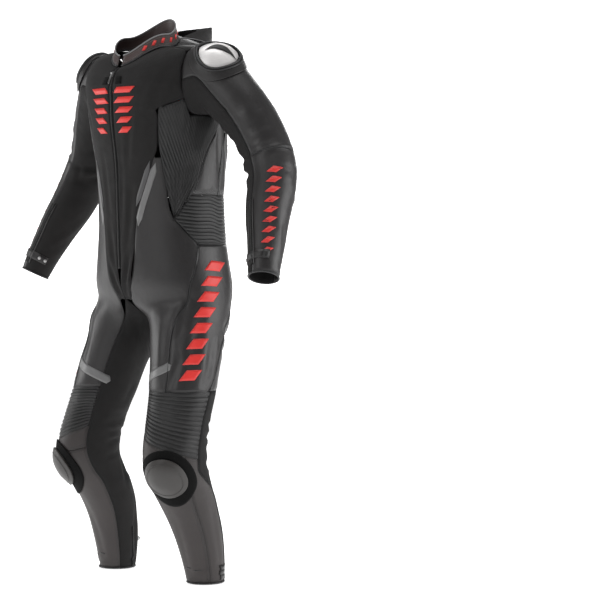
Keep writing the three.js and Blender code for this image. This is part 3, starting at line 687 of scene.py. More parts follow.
@dataclass
class Shell:
    """One cut panel of cloth, as a thin shell on its solid's form."""

    node: str
    finish: Finish
    slot: str
    creases: list[Fold] = field(default_factory=list)
    limb: Limb = TRUNK
    wall: float = 1.6 * MM
    levels: int | None = None
    held: str = "stretched"
    fill: float | None = None
    pleats: Pleats | None = None

    def cut(self) -> None:
        """Cut the panel from its node and round it."""
        bm = merged_copy(self.node)
        outer_side(bm)
        inside = [edge.calc_length() for edge in bm.edges if not edge.is_boundary]
        mean = sum(inside) / max(len(inside), 1)
        levels = self.levels or halvings(mean, MESH_STEP)
        if self.pleats:
            levels = halvings(mean, self.pleats.pitch / PLEAT_STEPS)
        self.surface = smoothed(bm, levels)
        if self.pleats:
            inner = [vertex for vertex in self.surface.verts if not vertex.is_boundary]
            for _ in range(PLEAT_EASING):
                bmesh.ops.smooth_vert(self.surface, verts=inner, factor=0.5,
                                      use_axis_x=True, use_axis_y=True, use_axis_z=True)
        self.surface.normal_update()
        self.surface.verts.index_update()
        self.borders = [[vertex.co.copy() for vertex in chain] for chain in chains(self.surface)]
        FORM.add(self.surface)

    def side(self) -> int:
        """Return -1 where the folds are mirrored, on the right arm and leg, and else 1."""
        return -1 if self.limb is not TRUNK and self.node.endswith("_r") else 1

    def route(self, crease: Fold, steps: int = 12) -> np.ndarray:
        """Lay a fold's line on the suit's surface."""
        points = []
        for k in range(steps + 1):
            part = k / steps
            along = crease.start[0] + (crease.end[0] - crease.start[0]) * part
            along += crease.bow * math.sin(math.pi * part)
            turn = crease.start[1] + (crease.end[1] - crease.start[1]) * part
            points.append(FORM.on(self.limb, along, turn, self.side())[0])
        return np.array(points)

    def press(self, crease: Fold, place: np.ndarray) -> np.ndarray:
        """Work out how far one fold moves each point along its normal.

        Args:
            crease: The fold.
            place: The points, as rows.

        Returns:
            The distance for each point, in metres.
        """
        line = self.route(crease)
        gap = np.linalg.norm(place[:, None, :] - line[None, :, :], axis=2)
        start, step = line[:-1], line[1:] - line[:-1]
        size = np.maximum((step ** 2).sum(axis=1), TINY)
        part = np.clip(((place[:, None, :] - start) * step).sum(axis=2) / size, 0, 1)
        near = np.linalg.norm(place[:, None, :] - (start + part[..., None] * step), axis=2)
        best = near.argmin(axis=1)
        away = np.minimum(near[np.arange(len(place)), best], gap.min(axis=1))
        run = (best + part[np.arange(len(place)), best]) / len(step)
        taper = np.sin(math.pi * np.clip(run, 0, 1)) ** 0.7
        valley = np.exp(-(away / crease.width) ** 2)
        shoulder = np.exp(-((away - 1.7 * crease.width) / (0.8 * crease.width)) ** 2)
        return crease.depth * taper * (valley - 0.3 * shoulder)

    def measure_seams(self, place: np.ndarray) -> tuple[np.ndarray, np.ndarray]:
        """Measure each point's distance from the panel's edge, and where along the edge it lies."""
        away = np.full(len(place), SEAM_REACH)
        run = np.zeros(len(place))
        for border in self.borders:
            line = np.array(border)
            start, step = line[:-1], line[1:] - line[:-1]
            size = np.linalg.norm(step, axis=1)
            passed = np.concatenate(([0.0], np.cumsum(size)[:-1]))
            low, high = line.min(axis=0) - SEAM_REACH, line.max(axis=0) + SEAM_REACH
            close = np.nonzero(((place > low) & (place < high)).all(axis=1))[0]
            for chunk in np.array_split(close, max(1, len(close) // SEAM_CHUNK)):
                if len(chunk) == 0:
                    continue
                offset = place[chunk][:, None, :] - start
                part = np.clip((offset * step).sum(axis=2) / np.maximum(size ** 2, TINY), 0, 1)
                near = np.linalg.norm(offset - part[..., None] * step, axis=2)
                best = near.argmin(axis=1)
                rows = np.arange(len(chunk))
                found = near[rows, best]
                closer = found < away[chunk]
                along = passed[best] + part[rows, best] * size[best]
                run[chunk] = np.where(closer, along, run[chunk])
                away[chunk] = np.where(closer, found, away[chunk])
        return away, run

    def pleat_valley(self, place: np.ndarray) -> np.ndarray:
        """Return how deep in a pleat's valley each point lies; a fan's pleats spread from edge to edge.

        Args:
            place: The points, as rows.

        Returns:
            The depth's share for each point, 0 where the panel has no pleats.
        """
        if self.pleats is None:
            return np.zeros(len(place))
        if self.pleats.fan == 0:
            return self.pleats.valley(place)
        edges = sorted((np.array(chain) for chain in self.borders), key=lambda edge: edge[:, 2].mean())
        gaps = []
        for edge in (edges[-1], edges[0]):
            gaps.append(np.linalg.norm(place[:, None, :] - edge[None, :, :], axis=2).min(axis=1))
        share = gaps[0] / np.maximum(gaps[0] + gaps[1], 1e-9)
        return (0.5 + 0.5 * np.cos(2 * math.pi * self.pleats.fan * share)) ** PLEAT_SHARPNESS

    def sew(self) -> bpy.types.Object:
        """Press the folds and seams into the panel and make it a piece of the suit.

        Returns:
            The finished piece.
        """
        bm = self.surface
        place = np.array([vertex.co for vertex in bm.verts])
        normals = np.array([vertex.normal for vertex in bm.verts])
        away, run = self.measure_seams(place)
        moved = -SEAM_DEPTH * np.exp(-(away / SEAM_WIDTH) ** 2)
        for crease in self.creases:
            moved += self.press(crease, place)
        valley = self.pleat_valley(place)
        if self.pleats:
            moved -= self.pleats.depth * valley * np.clip(away / PLEAT_RUN_OUT, 0.2, 1)
        for vertex, point in zip(bm.verts, place + normals * moved[:, None]):
            vertex.co = point
        mesh = mesh_from(bm, self.node + "_cloth")
        SKIN.add(bm)
        for name, values in (("seam_away", away), ("seam_run", run), ("pleat_valley", valley)):
            mesh.attributes.new(name, "FLOAT", "POINT").data.foreach_set("value", values)
        bm.free()
        piece = placed(self.node + "_cloth", mesh)
        thicken(piece, self.wall, -1)
        mesh.materials.append(self.finish.material())
        settle(piece, self.slot, self.node)
        self.declare()
        LOG.info("%s: %d faces", piece.name, len(mesh.polygons))
        return piece

    def declare(self) -> None:
        """Return at once; the panel's flat cut and its padding are not stated."""
        if self.fill is not None:
            return


def settle(piece: bpy.types.Object, slot: str, *nodes: str, body: str = SUIT) -> None:
    """Make a piece ride on its body and hide the nodes that it stands for."""
    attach(piece, body)
    if nodes:
        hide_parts(*nodes)


# Trims


def spread(points: list[Vector], step: float = ROUTE_STEP, closed: bool = False) -> list[Vector]:
    """Run a smooth curve through a few points and walk it in even steps.

    Args:
        points: The points that the curve passes.
        step: The longest step.
        closed: Whether the curve returns to its start.

    Returns:
        The even points, the last one equal to the first if closed.
    """
    knots = np.array([tuple(point) for point in points])
    if closed:
        knots = np.vstack([knots[-1:], knots, knots[:2]])
    else:
        knots = np.vstack([2 * knots[0] - knots[1], knots, 2 * knots[-1] - knots[-2]])
    fine = []
    part = np.linspace(0, 1, 9)[:-1, None]
    for a, b, c, d in zip(knots, knots[1:], knots[2:], knots[3:]):
        cubic = 2 * b + (c - a) * part + (2 * a - 5 * b + 4 * c - d) * part ** 2
        fine.append(0.5 * (cubic + (3 * b - a - 3 * c + d) * part ** 3))
    line = np.vstack([*fine, knots[-2][None, :]])
    passed = np.concatenate(([0.0], np.cumsum(np.linalg.norm(np.diff(line, axis=0), axis=1))))
    count = max(2, math.ceil(passed[-1] / step))
    even = np.linspace(0, passed[-1], count + 1)
    return [Vector(tuple(np.interp(at, passed, line[:, k]) for k in range(3))) for at in even]


def grid(across: int, along: int) -> bmesh.types.BMesh:
    """Start a flat grid from -1 to 1 each way, with that many faces across and along."""
    bm = bmesh.new()
    bmesh.ops.create_grid(bm, x_segments=across, y_segments=along, size=1.0)
    return bm


def finished(bm: bmesh.types.BMesh, name: str, finish: Finish, slot: str,
             wall: float = 0.0) -> bpy.types.Object:
    """Make a small piece of the suit from a bmesh.

    Args:
        bm: The shape, which is freed.
        name: The piece's name.
        finish: Its finish.
        slot: Not used.
        wall: A thickness given outward to an open surface, or 0 for a closed shape.

    Returns:
        The piece, riding on the suit.
    """
    mesh = mesh_from(bm, name)
    bm.free()
    mesh.materials.append(finish.material())
    piece = placed(name, mesh)
    if wall > 0:
        thicken(piece, wall, 1)
    settle(piece, slot)
    return piece


def ribbon(name: str, route: list[Vector], width: float, finish: Finish, slot: str, lift: float = 0.3 * MM,
           thick: float = 0.5 * MM, shift: float = 0.0, point: float = 0.0) -> bpy.types.Object:
    """Lay a flat strip on the suit along a route.

    Args:
        name: The piece's name.
        route: A few points along the strip's middle.
        width: The strip's width.
        finish: Its finish.
        slot: Not used.
        lift: How far its underside stands off the surface.
        thick: Its thickness.
        shift: How far the strip lies to the side of its route.
        point: The share of each end that narrows to a point.

    Returns:
        The strip.
    """
    line = spread(route)
    last = len(line) - 1
    across = max(2, round(width / (6 * MM)))
    bm = grid(across, last)
    for vertex in bm.verts:
        part = (vertex.co.y + 1) / 2
        k = min(round(part * last), last)
        middle = line[k]
        ahead = (line[min(k + 1, last)] - line[max(k - 1, 0)]).normalized()
        outward = SKIN.under(middle)[1]
        aside = outward.cross(ahead).normalized()
        narrow = min(1.0, part / point, (1 - part) / point) if point > 0 else 1.0
        target = middle + aside * (shift + vertex.co.x * 0.5 * width * max(narrow, 0.06))
        found, normal = SKIN.under(target)
        vertex.co = found + normal * lift
    bmesh.ops.recalc_face_normals(bm, faces=bm.faces)
    face_outward(bm)
    return finished(bm, name, finish, slot, thick)


def face_outward(bm: bmesh.types.BMesh) -> None:
    """Turn an open surface over if its faces point into the suit."""
    bm.normal_update()
    outward = sum(face.normal.dot(SKIN.under(face.calc_center_median())[1]) for face in bm.faces)
    if outward < 0:
        bmesh.ops.reverse_faces(bm, faces=bm.faces)


def tube(name: str, route: list[Vector], radius: float, finish: Finish, slot: str, lift: float = 0.0,
         closed: bool = False, sides: int = 6, step: float = ROUTE_STEP) -> bpy.types.Object:
    """Lay a round cord of piping on the suit along a route.

    Args:
        name: The piece's name.
        route: A few points along the cord.
        radius: The cord's radius.
        finish: Its finish.
        slot: Not used.
        lift: How far the cord's middle stands off the surface.
        closed: Whether it returns to its start.
        sides: The faces round it.
        step: The longest step along it.

    Returns:
        The cord.
    """
    line = spread(route, step, closed)
    last = len(line) - 1
    bm = grid(sides, last)
    for vertex in bm.verts:
        k = min(round((vertex.co.y + 1) / 2 * last), last)
        angle = math.pi * vertex.co.x
        if closed:
            ahead = (line[(k + 1) % last] - line[(k - 1) % last]).normalized()
        else:
            ahead = (line[min(k + 1, last)] - line[max(k - 1, 0)]).normalized()
        found, outward = SKIN.under(line[k])
        outward = (outward - ahead * outward.dot(ahead)).normalized()
        aside = ahead.cross(outward)
        vertex.co = found + outward * (lift + radius * math.cos(angle)) + aside * (radius * math.sin(angle))
    bmesh.ops.remove_doubles(bm, verts=bm.verts, dist=0.05 * MM)
    bmesh.ops.holes_fill(bm, edges=[edge for edge in bm.edges if edge.is_boundary], sides=sides)
    bmesh.ops.recalc_face_normals(bm, faces=bm.faces)
    return finished(bm, name, finish, slot)


@dataclass(frozen=True)
class Bar:
    """One slanted bar of a printed block: its middle, its size, and how far its top leans, in mm."""

    x: float
    y: float
    width: float
    height: float
    lean: float = 0.0


def printed(name: str, middle: Vector, outward: Vector, up: Vector, bars: list[Bar], finish: Finish,
            slot: str, lift: float = 0.35 * MM, thick: float = 0.5 * MM) -> bpy.types.Object:
    """Lay a block of slanted bars on the suit.

    Args:
        name: The piece's name.
        middle: The block's middle on the suit.
        outward: The direction that it faces.
        up: The direction of its height.
        bars: The bars, in the block's own plane.
        finish: Their finish.
        slot: Not used.
        lift: How far their underside stands off the surface.
        thick: Their thickness.

    Returns:
        The block as one piece.
    """
    rise = (up - outward * up.dot(outward)).normalized()
    right = rise.cross(outward).normalized()
    whole = bmesh.new()
    for bar in bars:
        bm = grid(max(1, round(bar.width / 7)), max(1, round(bar.height / 7)))
        for vertex in bm.verts:
            x = bar.x + 0.5 * bar.width * vertex.co.x + bar.lean * vertex.co.y
            y = bar.y + 0.5 * bar.height * vertex.co.y
            start = middle + right * x * MM + rise * y * MM + outward * REACH
            found, normal, *_ = SKIN.search().ray_cast(start, -outward)
            if found is None:
                found, normal = SKIN.under(start)
            vertex.co = found + normal * lift
        part = bpy.data.meshes.new("bar")
        bm.to_mesh(part)
        bm.free()
        whole.from_mesh(part)
        bpy.data.meshes.remove(part)
    face_outward(whole)
    return finished(whole, name, finish, slot, thick)


def scattered(name: str, seats: list[Matrix], size: Colour, finish: Finish, slot: str) -> bpy.types.Object:
    """Set many small bevelled blocks, such as zip teeth, as one piece.

    Args:
        name: The piece's name.
        seats: Each block's place and turn.
        size: A block's width, depth and height.
        finish: Their finish.
        slot: Not used.

    Returns:
        The joined piece.
    """
    bm = bmesh.new()
    for seat in seats:
        bmesh.ops.create_cube(bm, size=1.0, matrix=seat @ Matrix.Diagonal((*size, 1.0)))
    return finished(bm, name, finish, slot)


def seat_at(point: Vector, outward: Vector, down: Vector) -> Matrix:
    """Turn +Z outward and -Y down at a point."""
    up = -(down - outward * down.dot(outward)).normalized()
    side = up.cross(outward)
    return Matrix.Translation(point) @ Matrix((side, up, outward)).transposed().to_4x4()


def zip_teeth(name: str, route: list[Vector], slot: str, tooth: Colour = (2.6 * MM, 1.5 * MM, 1.4 * MM),
              half: float = 1.5 * MM, lift: float = 0.9 * MM,
              finish: Finish = Finish.VENT) -> bpy.types.Object:
    """Set the two rows of zip teeth along a route, one row half a pitch behind the other.

    Args:
        name: The piece's name.
        route: A few points along the zip.
        slot: Not used.
        tooth: A tooth's width, depth and height.
        half: How far each row lies from the zip's middle.
        lift: How far the teeth's middles stand off the surface.
        finish: Their finish.

    Returns:
        The teeth as one piece.
    """
    line = spread(route, ZIP_PITCH)
    seats = []
    for k in range(len(line) - 1):
        ahead = (line[k + 1] - line[k]).normalized()
        found, outward = SKIN.under(line[k])
        frame_here = seat_at(found + outward * lift, outward, ahead)
        for side in (-1, 1):
            offset = Matrix.Translation((side * half, side * ZIP_PITCH / 4, 0))
            seats.append(frame_here @ offset)
    return scattered(name, seats, tooth, finish, slot)


def border_near(shell: Shell, point: Colour) -> list[Vector]:
    """Return the panel's border chain whose middle lies nearest to a point."""
    target = Vector(point)
    return min(shell.borders, key=lambda chain: (chain[len(chain) // 2] - target).length)


def front_edge(chain: list[Vector], top: float, bottom: float, count: int = 8) -> list[Vector]:
    """Return points evenly down the side of a border that lies nearest the suit's middle.

    Args:
        chain: The border.
        top: The first point's height.
        bottom: The last point's height.
        count: How many points.

    Returns:
        The points, from the top down.
    """
    found = []
    for k in range(count):
        height = top + (bottom - top) * k / (count - 1)
        near = [point for point in chain if abs(point.z - height) < 9 * MM]
        if near:
            found.append(min(near, key=lambda point: abs(point.x)))
    return found


def mean_height(chain: list[Vector]) -> float:
    """Return the mean height of a chain's points."""
    return sum(point.z for point in chain) / len(chain)


def thinned(chain: list[Vector], step: float = 16 * MM) -> list[Vector]:
    """Keep a chain's ends and a point every step or so between them."""
    kept = [chain[0]]
    for point in chain[1:-1]:
        if (point - kept[-1]).length >= step and (point - chain[-1]).length >= 0.5 * step:
            kept.append(point)
    return kept + [chain[-1]]


def solid_smooth(node: str, finish: Finish, slot: str, rim: float = 0.55,
                 levels: int = 3) -> bpy.types.Object:
    """Replace a hard node by a rounded copy with softly bevelled rims.

    Args:
        node: The node.
        finish: The copy's finish.
        slot: Not used.
        rim: How sharp the rims stay, from 0 to 1.
        levels: How often each face is halved.

    Returns:
        The copy.
    """
    bm = merged_copy(node)
    crease = bm.edges.layers.float.new("crease_edge")
    for edge in bm.edges:
        if edge.calc_face_angle(0.0) > RIM_TURN:
            edge[crease] = rim
    mesh = mesh_from(bm, node + "_solid")
    bm.free()
    mesh.materials.append(finish.material())
    piece = placed(node + "_solid", mesh)
    round_off(piece, levels)
    settle(piece, slot, node)
    return piece


# The suit's parts


Cut = tuple[str, Finish, str]
SHELLS: dict[str, Shell] = {}


def cut_panels(cuts: tuple[Cut, ...], ends: tuple[str, ...], limb: Limb, creases: dict[str, list[Fold]],
               **more: object) -> None:
    """Cut a row of panels from their nodes.

    Args:
        cuts: Each panel's node without its side, its finish and its slot.
        ends: The sides' endings.
        limb: The limb that the panels wrap.
        creases: The folds for each ending.
        more: Other fields of every shell.
    """
    for name, finish, slot in cuts:
        for end in ends:
            shell = Shell(name + end, finish, slot, creases.get(end, []), limb, **more)
            shell.cut()
            SHELLS[shell.node] = shell


def uneven(rows: list[Fold], along: float, turn: float, share: float) -> list[Fold]:
    """Return the folds of the other side: the same ones, moved a little and of another depth."""
    moved = []
    for k, fold in enumerate(rows):
        sway = 1 if k % 2 else -1
        start = (fold.start[0] + along * sway, fold.start[1] + turn)
        end = (fold.end[0] + along, fold.end[1] + turn * sway)
        moved.append(Fold(start, end, fold.width, fold.depth * (share if k % 3 else 1.0), -fold.bow))
    return moved


def pipe_seam(name: str, panel: str, near: Colour, radius: float, finish: Finish,
              lift: float = 0.4 * MM) -> None:
    """Lay a cord along one border of a panel.

    Args:
        name: The cord's name.
        panel: The panel's node.
        near: A point that the border's middle lies nearest to.
        radius: The cord's radius.
        finish: Its finish.
        lift: How far the cord's middle stands off the surface.
    """
    chain = border_near(SHELLS[panel], near)
    tube(name, thinned(chain), radius, finish, "leather", lift=lift)


@dataclass
class LimbPart:
    """What a sleeve and a leg share: the wearer's side, 1 for left and -1 for right, and the limb."""

    side: int
    limb: ClassVar[Limb]

    def end(self) -> str:
        """Return the ending of this side's names."""
        return "_l" if self.side > 0 else "_r"

    def own(self, rows: list[Fold], along: float, turn: float, share: float) -> list[Fold]:
        """Return this side's version of a table of folds."""
        return rows if self.side > 0 else uneven(rows, along, turn, share)

    def at(self, along: float, turn: float) -> tuple[Vector, Vector]:
        """Find a place on the limb and the outward direction there."""
        return SKIN.on(self.limb, along, turn, self.side)

    def bind_hems(self, panels: tuple[str, ...], radius: float, lift: float) -> None:
        """Bind the lowest border of each panel with a cord."""
        end = self.end()
        for name in panels:
            hem = min(SHELLS[name + end].borders, key=mean_height)
            tube(name + "_hem" + end, thinned(hem, HEM_STEP), radius, Finish.CORD, "leather", lift=lift)


@dataclass
class Torso:
    """The body of the suit, from the neck to the hips, with its zip, piping and printed blocks."""

    stripe_width: float = 17 * MM
    stripe_top: float = -0.262
    stripe_end: float = -0.455
    side_stripe: float = 13 * MM
    piping: float = 1.3 * MM
    front: list[Fold] = field(default_factory=lambda: folds(
        (0.5, 26, 1.7, 15, 9, -2.4, 0.1), (1.2, 8, 2.9, 6, 8, -2.0), (1.9, 21, 3.3, 11, 10, -3.0),
        (2.6, -14, 3.7, -6, 9, -3.0), (1.4, -22, 2.6, -12, 9, -2.4), (3.2, 15, 4.0, 4, 8, -4.2),
        (3.3, -18, 4.0, -3, 8, -4.0), (3.0, 27, 3.8, 12, 9, 3.2), (3.35, 34, 3.9, 10, 7, -4.6),
        (0.2, 62, 0.9, 38, 11, -3.2), (0.4, -60, 1.0, -35, 11, -3.0), (3.5, 58, 4.1, 14, 10, -5.0),
        (3.75, 52, 4.15, 16, 8, 3.4), (3.45, -55, 4.05, -12, 10, -5.0), (3.7, -50, 4.1, -18, 8, 3.0),
        (2.6, 70, 3.6, 56, 12, -2.6), (2.7, -74, 3.5, -58, 12, -2.8), (2.2, 84, 2.9, 60, 10, 2.4),
        (0.1, 86, 0.55, 60, 12, -3.0), (0.1, -84, 0.5, -60, 12, -3.2)))
    rear: list[Fold] = field(default_factory=lambda: folds(
        (0.85, 126, 1.75, 150, 14, -5.2, 0.08), (1.1, 120, 2.0, 141, 12, 3.8), (0.7, 150, 1.8, 164, 14, -4.2),
        (1.3, 161, 2.15, 169, 10, -3.4), (0.8, -131, 1.8, -152, 14, -5.6, -0.06),
        (1.2, -122, 2.1, -145, 11, 3.8),
        (0.9, -150, 2.0, -166, 13, -4.0), (1.6, -130, 2.15, -151, 10, -4.0), (1.1, 100, 2.1, 109, 9, -3.4),
        (1.4, 113, 2.2, 119, 8, 2.8), (1.0, -103, 2.0, -110, 9, -3.2), (0.3, 118, 0.8, 140, 13, -4.0),
        (0.3, -120, 0.75, -138, 13, -3.6)))

    def cut(self) -> None:
        """Cut the body's panels."""
        hide, ribs = Finish.BODY_HIDE, Finish.RIB_HIDE
        front = {end: self.front for end in ENDS}
        rear = {end: self.rear for end in ENDS}
        cut_panels((("front_centre", Finish.CLOTH, "stretch"), ("shoulder_yoke", Finish.CLOTH, "leather")),
                   ENDS, TRUNK, front)
        cut_panels((("side_back", hide, "leather"), ("shoulder_back", hide, "leather"),
                    ("back", hide, "leather")), ENDS, TRUNK, rear)
        for side, end in SIDES:
            for name, pleats in (
                    ("side_ribs", Pleats((side * 0.3, 1.0, 0.42), 7.5 * MM)),
                    ("blade_ribs", Pleats((-side * 0.75, -0.4, 0.75), 8.5 * MM, sway=2.4 * MM)),
                    ("waist_ribs", Pleats((0.0, 0.1, 1.0), 9 * MM, sway=2.2 * MM,
                                          sway_along=(1.0, -0.6, 0.0)))):
                cut_panels(((name, ribs, "ribs"),), (end,), TRUNK, {}, pleats=pleats)

    def dress(self) -> None:
        """Lay the stripes, the piping and the printed blocks."""
        pale, dark = Finish.PALE_CORD, Finish.CORD
        for side, end in SIDES:
            edge = border_near(SHELLS["hip_front" + end], (side * 0.1, -0.13, -0.4))
            stripe = front_edge(edge, self.stripe_top, self.stripe_end)
            ribbon("silver_stripe" + end, stripe, self.stripe_width, Finish.SILVER, "leather",
                   shift=side * 0.5 * self.stripe_width, point=0.12)
            side_stripe = front_edge(edge, self.stripe_top + 0.02, self.stripe_end + 0.05)
            ribbon("grey_stripe" + end, side_stripe, self.side_stripe, Finish.DIM_SILVER, "leather",
                   shift=-side * 0.6 * self.side_stripe, point=0.2)
            for name, panel, near, finish, lift in (
                    ("ribs_piping", "side_back", (side * 0.16, 0.05, -0.3), pale, 0.4 * MM),
                    ("back_piping", "side_back", (side * 0.13, 0.1, -0.27), pale, 0.4 * MM),
                    ("blade_piping", "blade_ribs", (side * 0.12, 0.11, -0.1), pale, 0.4 * MM),
                    ("shoulder_piping", "blade_ribs", (side * 0.15, 0.1, -0.1), pale, 0.4 * MM),
                    ("waist_top_piping", "waist_ribs", (side * 0.11, 0.12, -0.38), dark, 0.3 * MM),
                    ("waist_end_piping", "waist_ribs", (side * 0.11, 0.12, -0.504), dark, 0.3 * MM)):
                pipe_seam(name + end, panel + end, near, self.piping, finish, lift)
        self.print_blocks()

    def print_blocks(self) -> None:
        """Lay the red slanted bars on the chest and the upper back."""
        for side, end in SIDES:
            bars = [Bar(0, 50 - 25 * k, 62 - 8 * k, 15, side * 9) for k in range(5)]
            middle, outward = SKIN.on(TRUNK, 0.72, side * 17)
            printed("chest_bars" + end, middle, outward, UP, bars, Finish.RED, "stretch")
            middle, outward = SKIN.on(TRUNK, 1.05, side * 152)
            back_bars = [Bar(0, 34 - 19 * k, 46 - 5 * k, 11, side * 8) for k in range(4)]
            printed("back_bars" + end, middle, outward, UP, back_bars, Finish.RED, "leather")


@dataclass
class Hump:
    """The hump behind the neck: two matte side faces and a pale-edged spine strip."""

    piping: float = 1.5 * MM

    def cut(self) -> None:
        """Cut the hump's panels."""
        cut_panels((("hump_side", Finish.CLOTH, "stretch"),), ENDS, TRUNK, {})
        cut_panels((("hump_spine", Finish.SPINE_HIDE, "leather"),), ("",), TRUNK, {})

    def dress(self) -> None:
        """Pipe the spine's edges and the sides' seams."""
        for side, end in SIDES:
            panel = "hump_side" + end
            pipe_seam("spine_piping" + end, panel, (side * 0.024, 0.145, -0.1), self.piping,
                      Finish.PALE_CORD, lift=0.0)
            pipe_seam("hump_seam_piping" + end, panel, (side * 0.08, 0.12, -0.1), self.piping,
                      Finish.PALE_CORD)


@dataclass
class Collar:
    """The short band collar with its edge binding, small bars and the tab below it."""

    binding: float = 2.0 * MM
    bar_count: int = 6
    bar_start: float = 0.14
    bar_step: float = 0.05
    sunk: float = 1.4 * MM
    tab: Span = (44, 20)
    tab_wall: float = 1.3 * MM

    def cut(self) -> None:
        """Cut the collar."""
        cut_panels((("collar", Finish.NECK_HIDE, "leather"),), ("",), TRUNK, {})

    def dress(self) -> None:
        """Bind the collar's edges and lay its bars and the tab."""
        borders = SHELLS["collar"].borders
        top = max(borders, key=mean_height)
        tube("collar_binding", thinned(top, 10 * MM), self.binding, Finish.PALE_CORD, "leather")
        foot = min((chain for chain in borders if len(chain) > 20), key=mean_height)
        sunk = [point - Vector((0, 0, self.sunk)) for point in thinned(foot, 10 * MM)]
        tube("collar_seam", sunk, self.binding * 1.35, Finish.CORD, "leather")
        self.lay_bars(top, foot)
        width, height = self.tab
        for side, end in SIDES:
            middle, outward = SKIN.on(TRUNK, 0.27, side * 10.5)
            printed("collar_tab" + end, middle, outward, UP,
                    [Bar(0, 0, 0.5 * width, height, -side * 2)], Finish.FUZZ, "fuzz", thick=self.tab_wall)

    def lay_bars(self, top: list[Vector], foot: list[Vector]) -> None:
        """Lay the small slanted bars round the collar, half way between its top and its foot.

        Args:
            top: The collar's upper border.
            foot: Its lower border.
        """
        high, low = spread(top, 4 * MM), spread(foot, 4 * MM)
        middle = [a.lerp(b, 0.5) for a, b in zip(high, reversed(low))]
        if (top[0] - foot[0]).length < (top[0] - foot[-1]).length:
            middle = [high[int(k * (len(high) - 1) / 99)].lerp(low[int(k * (len(low) - 1) / 99)], 0.5)
                      for k in range(100)]
        last = len(middle) - 1
        for side, end in SIDES:
            ahead = (middle[10].x > 0) == (side > 0)
            for k in range(self.bar_count):
                share = self.bar_start + self.bar_step * k
                at = share if ahead else 1 - share
                found, outward = SKIN.under(middle[int(at * last)])
                printed(f"collar_bar{end}_{k}", found, outward, UP, [Bar(0, 0, 8, 13, side * 3)],
                        Finish.RED, "leather")


@dataclass
class MainZip:
    """The front zip: a woven tape, its two rows of teeth, and the metal slider and pull."""

    def cut(self) -> None:
        """Cut the tape."""
        cut_panels((("zip_tape", Finish.TAPE, "tape"),), ("",), TRUNK, {}, wall=1.0 * MM)

    def dress(self) -> None:
        """Set the teeth and give every slider and pull its metal."""
        sides = sorted(SHELLS["zip_tape"].borders, key=lambda chain: -len(chain))[:2]
        left, right = (sorted(chain, key=lambda point: -point.z) for chain in sides)
        middle = [(a + b) / 2 for a, b in zip(left, right)]
        below = [point for point in thinned(middle, 12 * MM) if point.z < -0.1]
        zip_teeth("zip_teeth", below, "tape")
        for node in ("zip_slider", "zip_pull", "ankle_slider_l", "ankle_slider_r",
                     "ankle_pull_l", "ankle_pull_r"):
            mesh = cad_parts[node].data
            mesh.materials.clear()
            mesh.materials.append(Finish.FITTING.material())


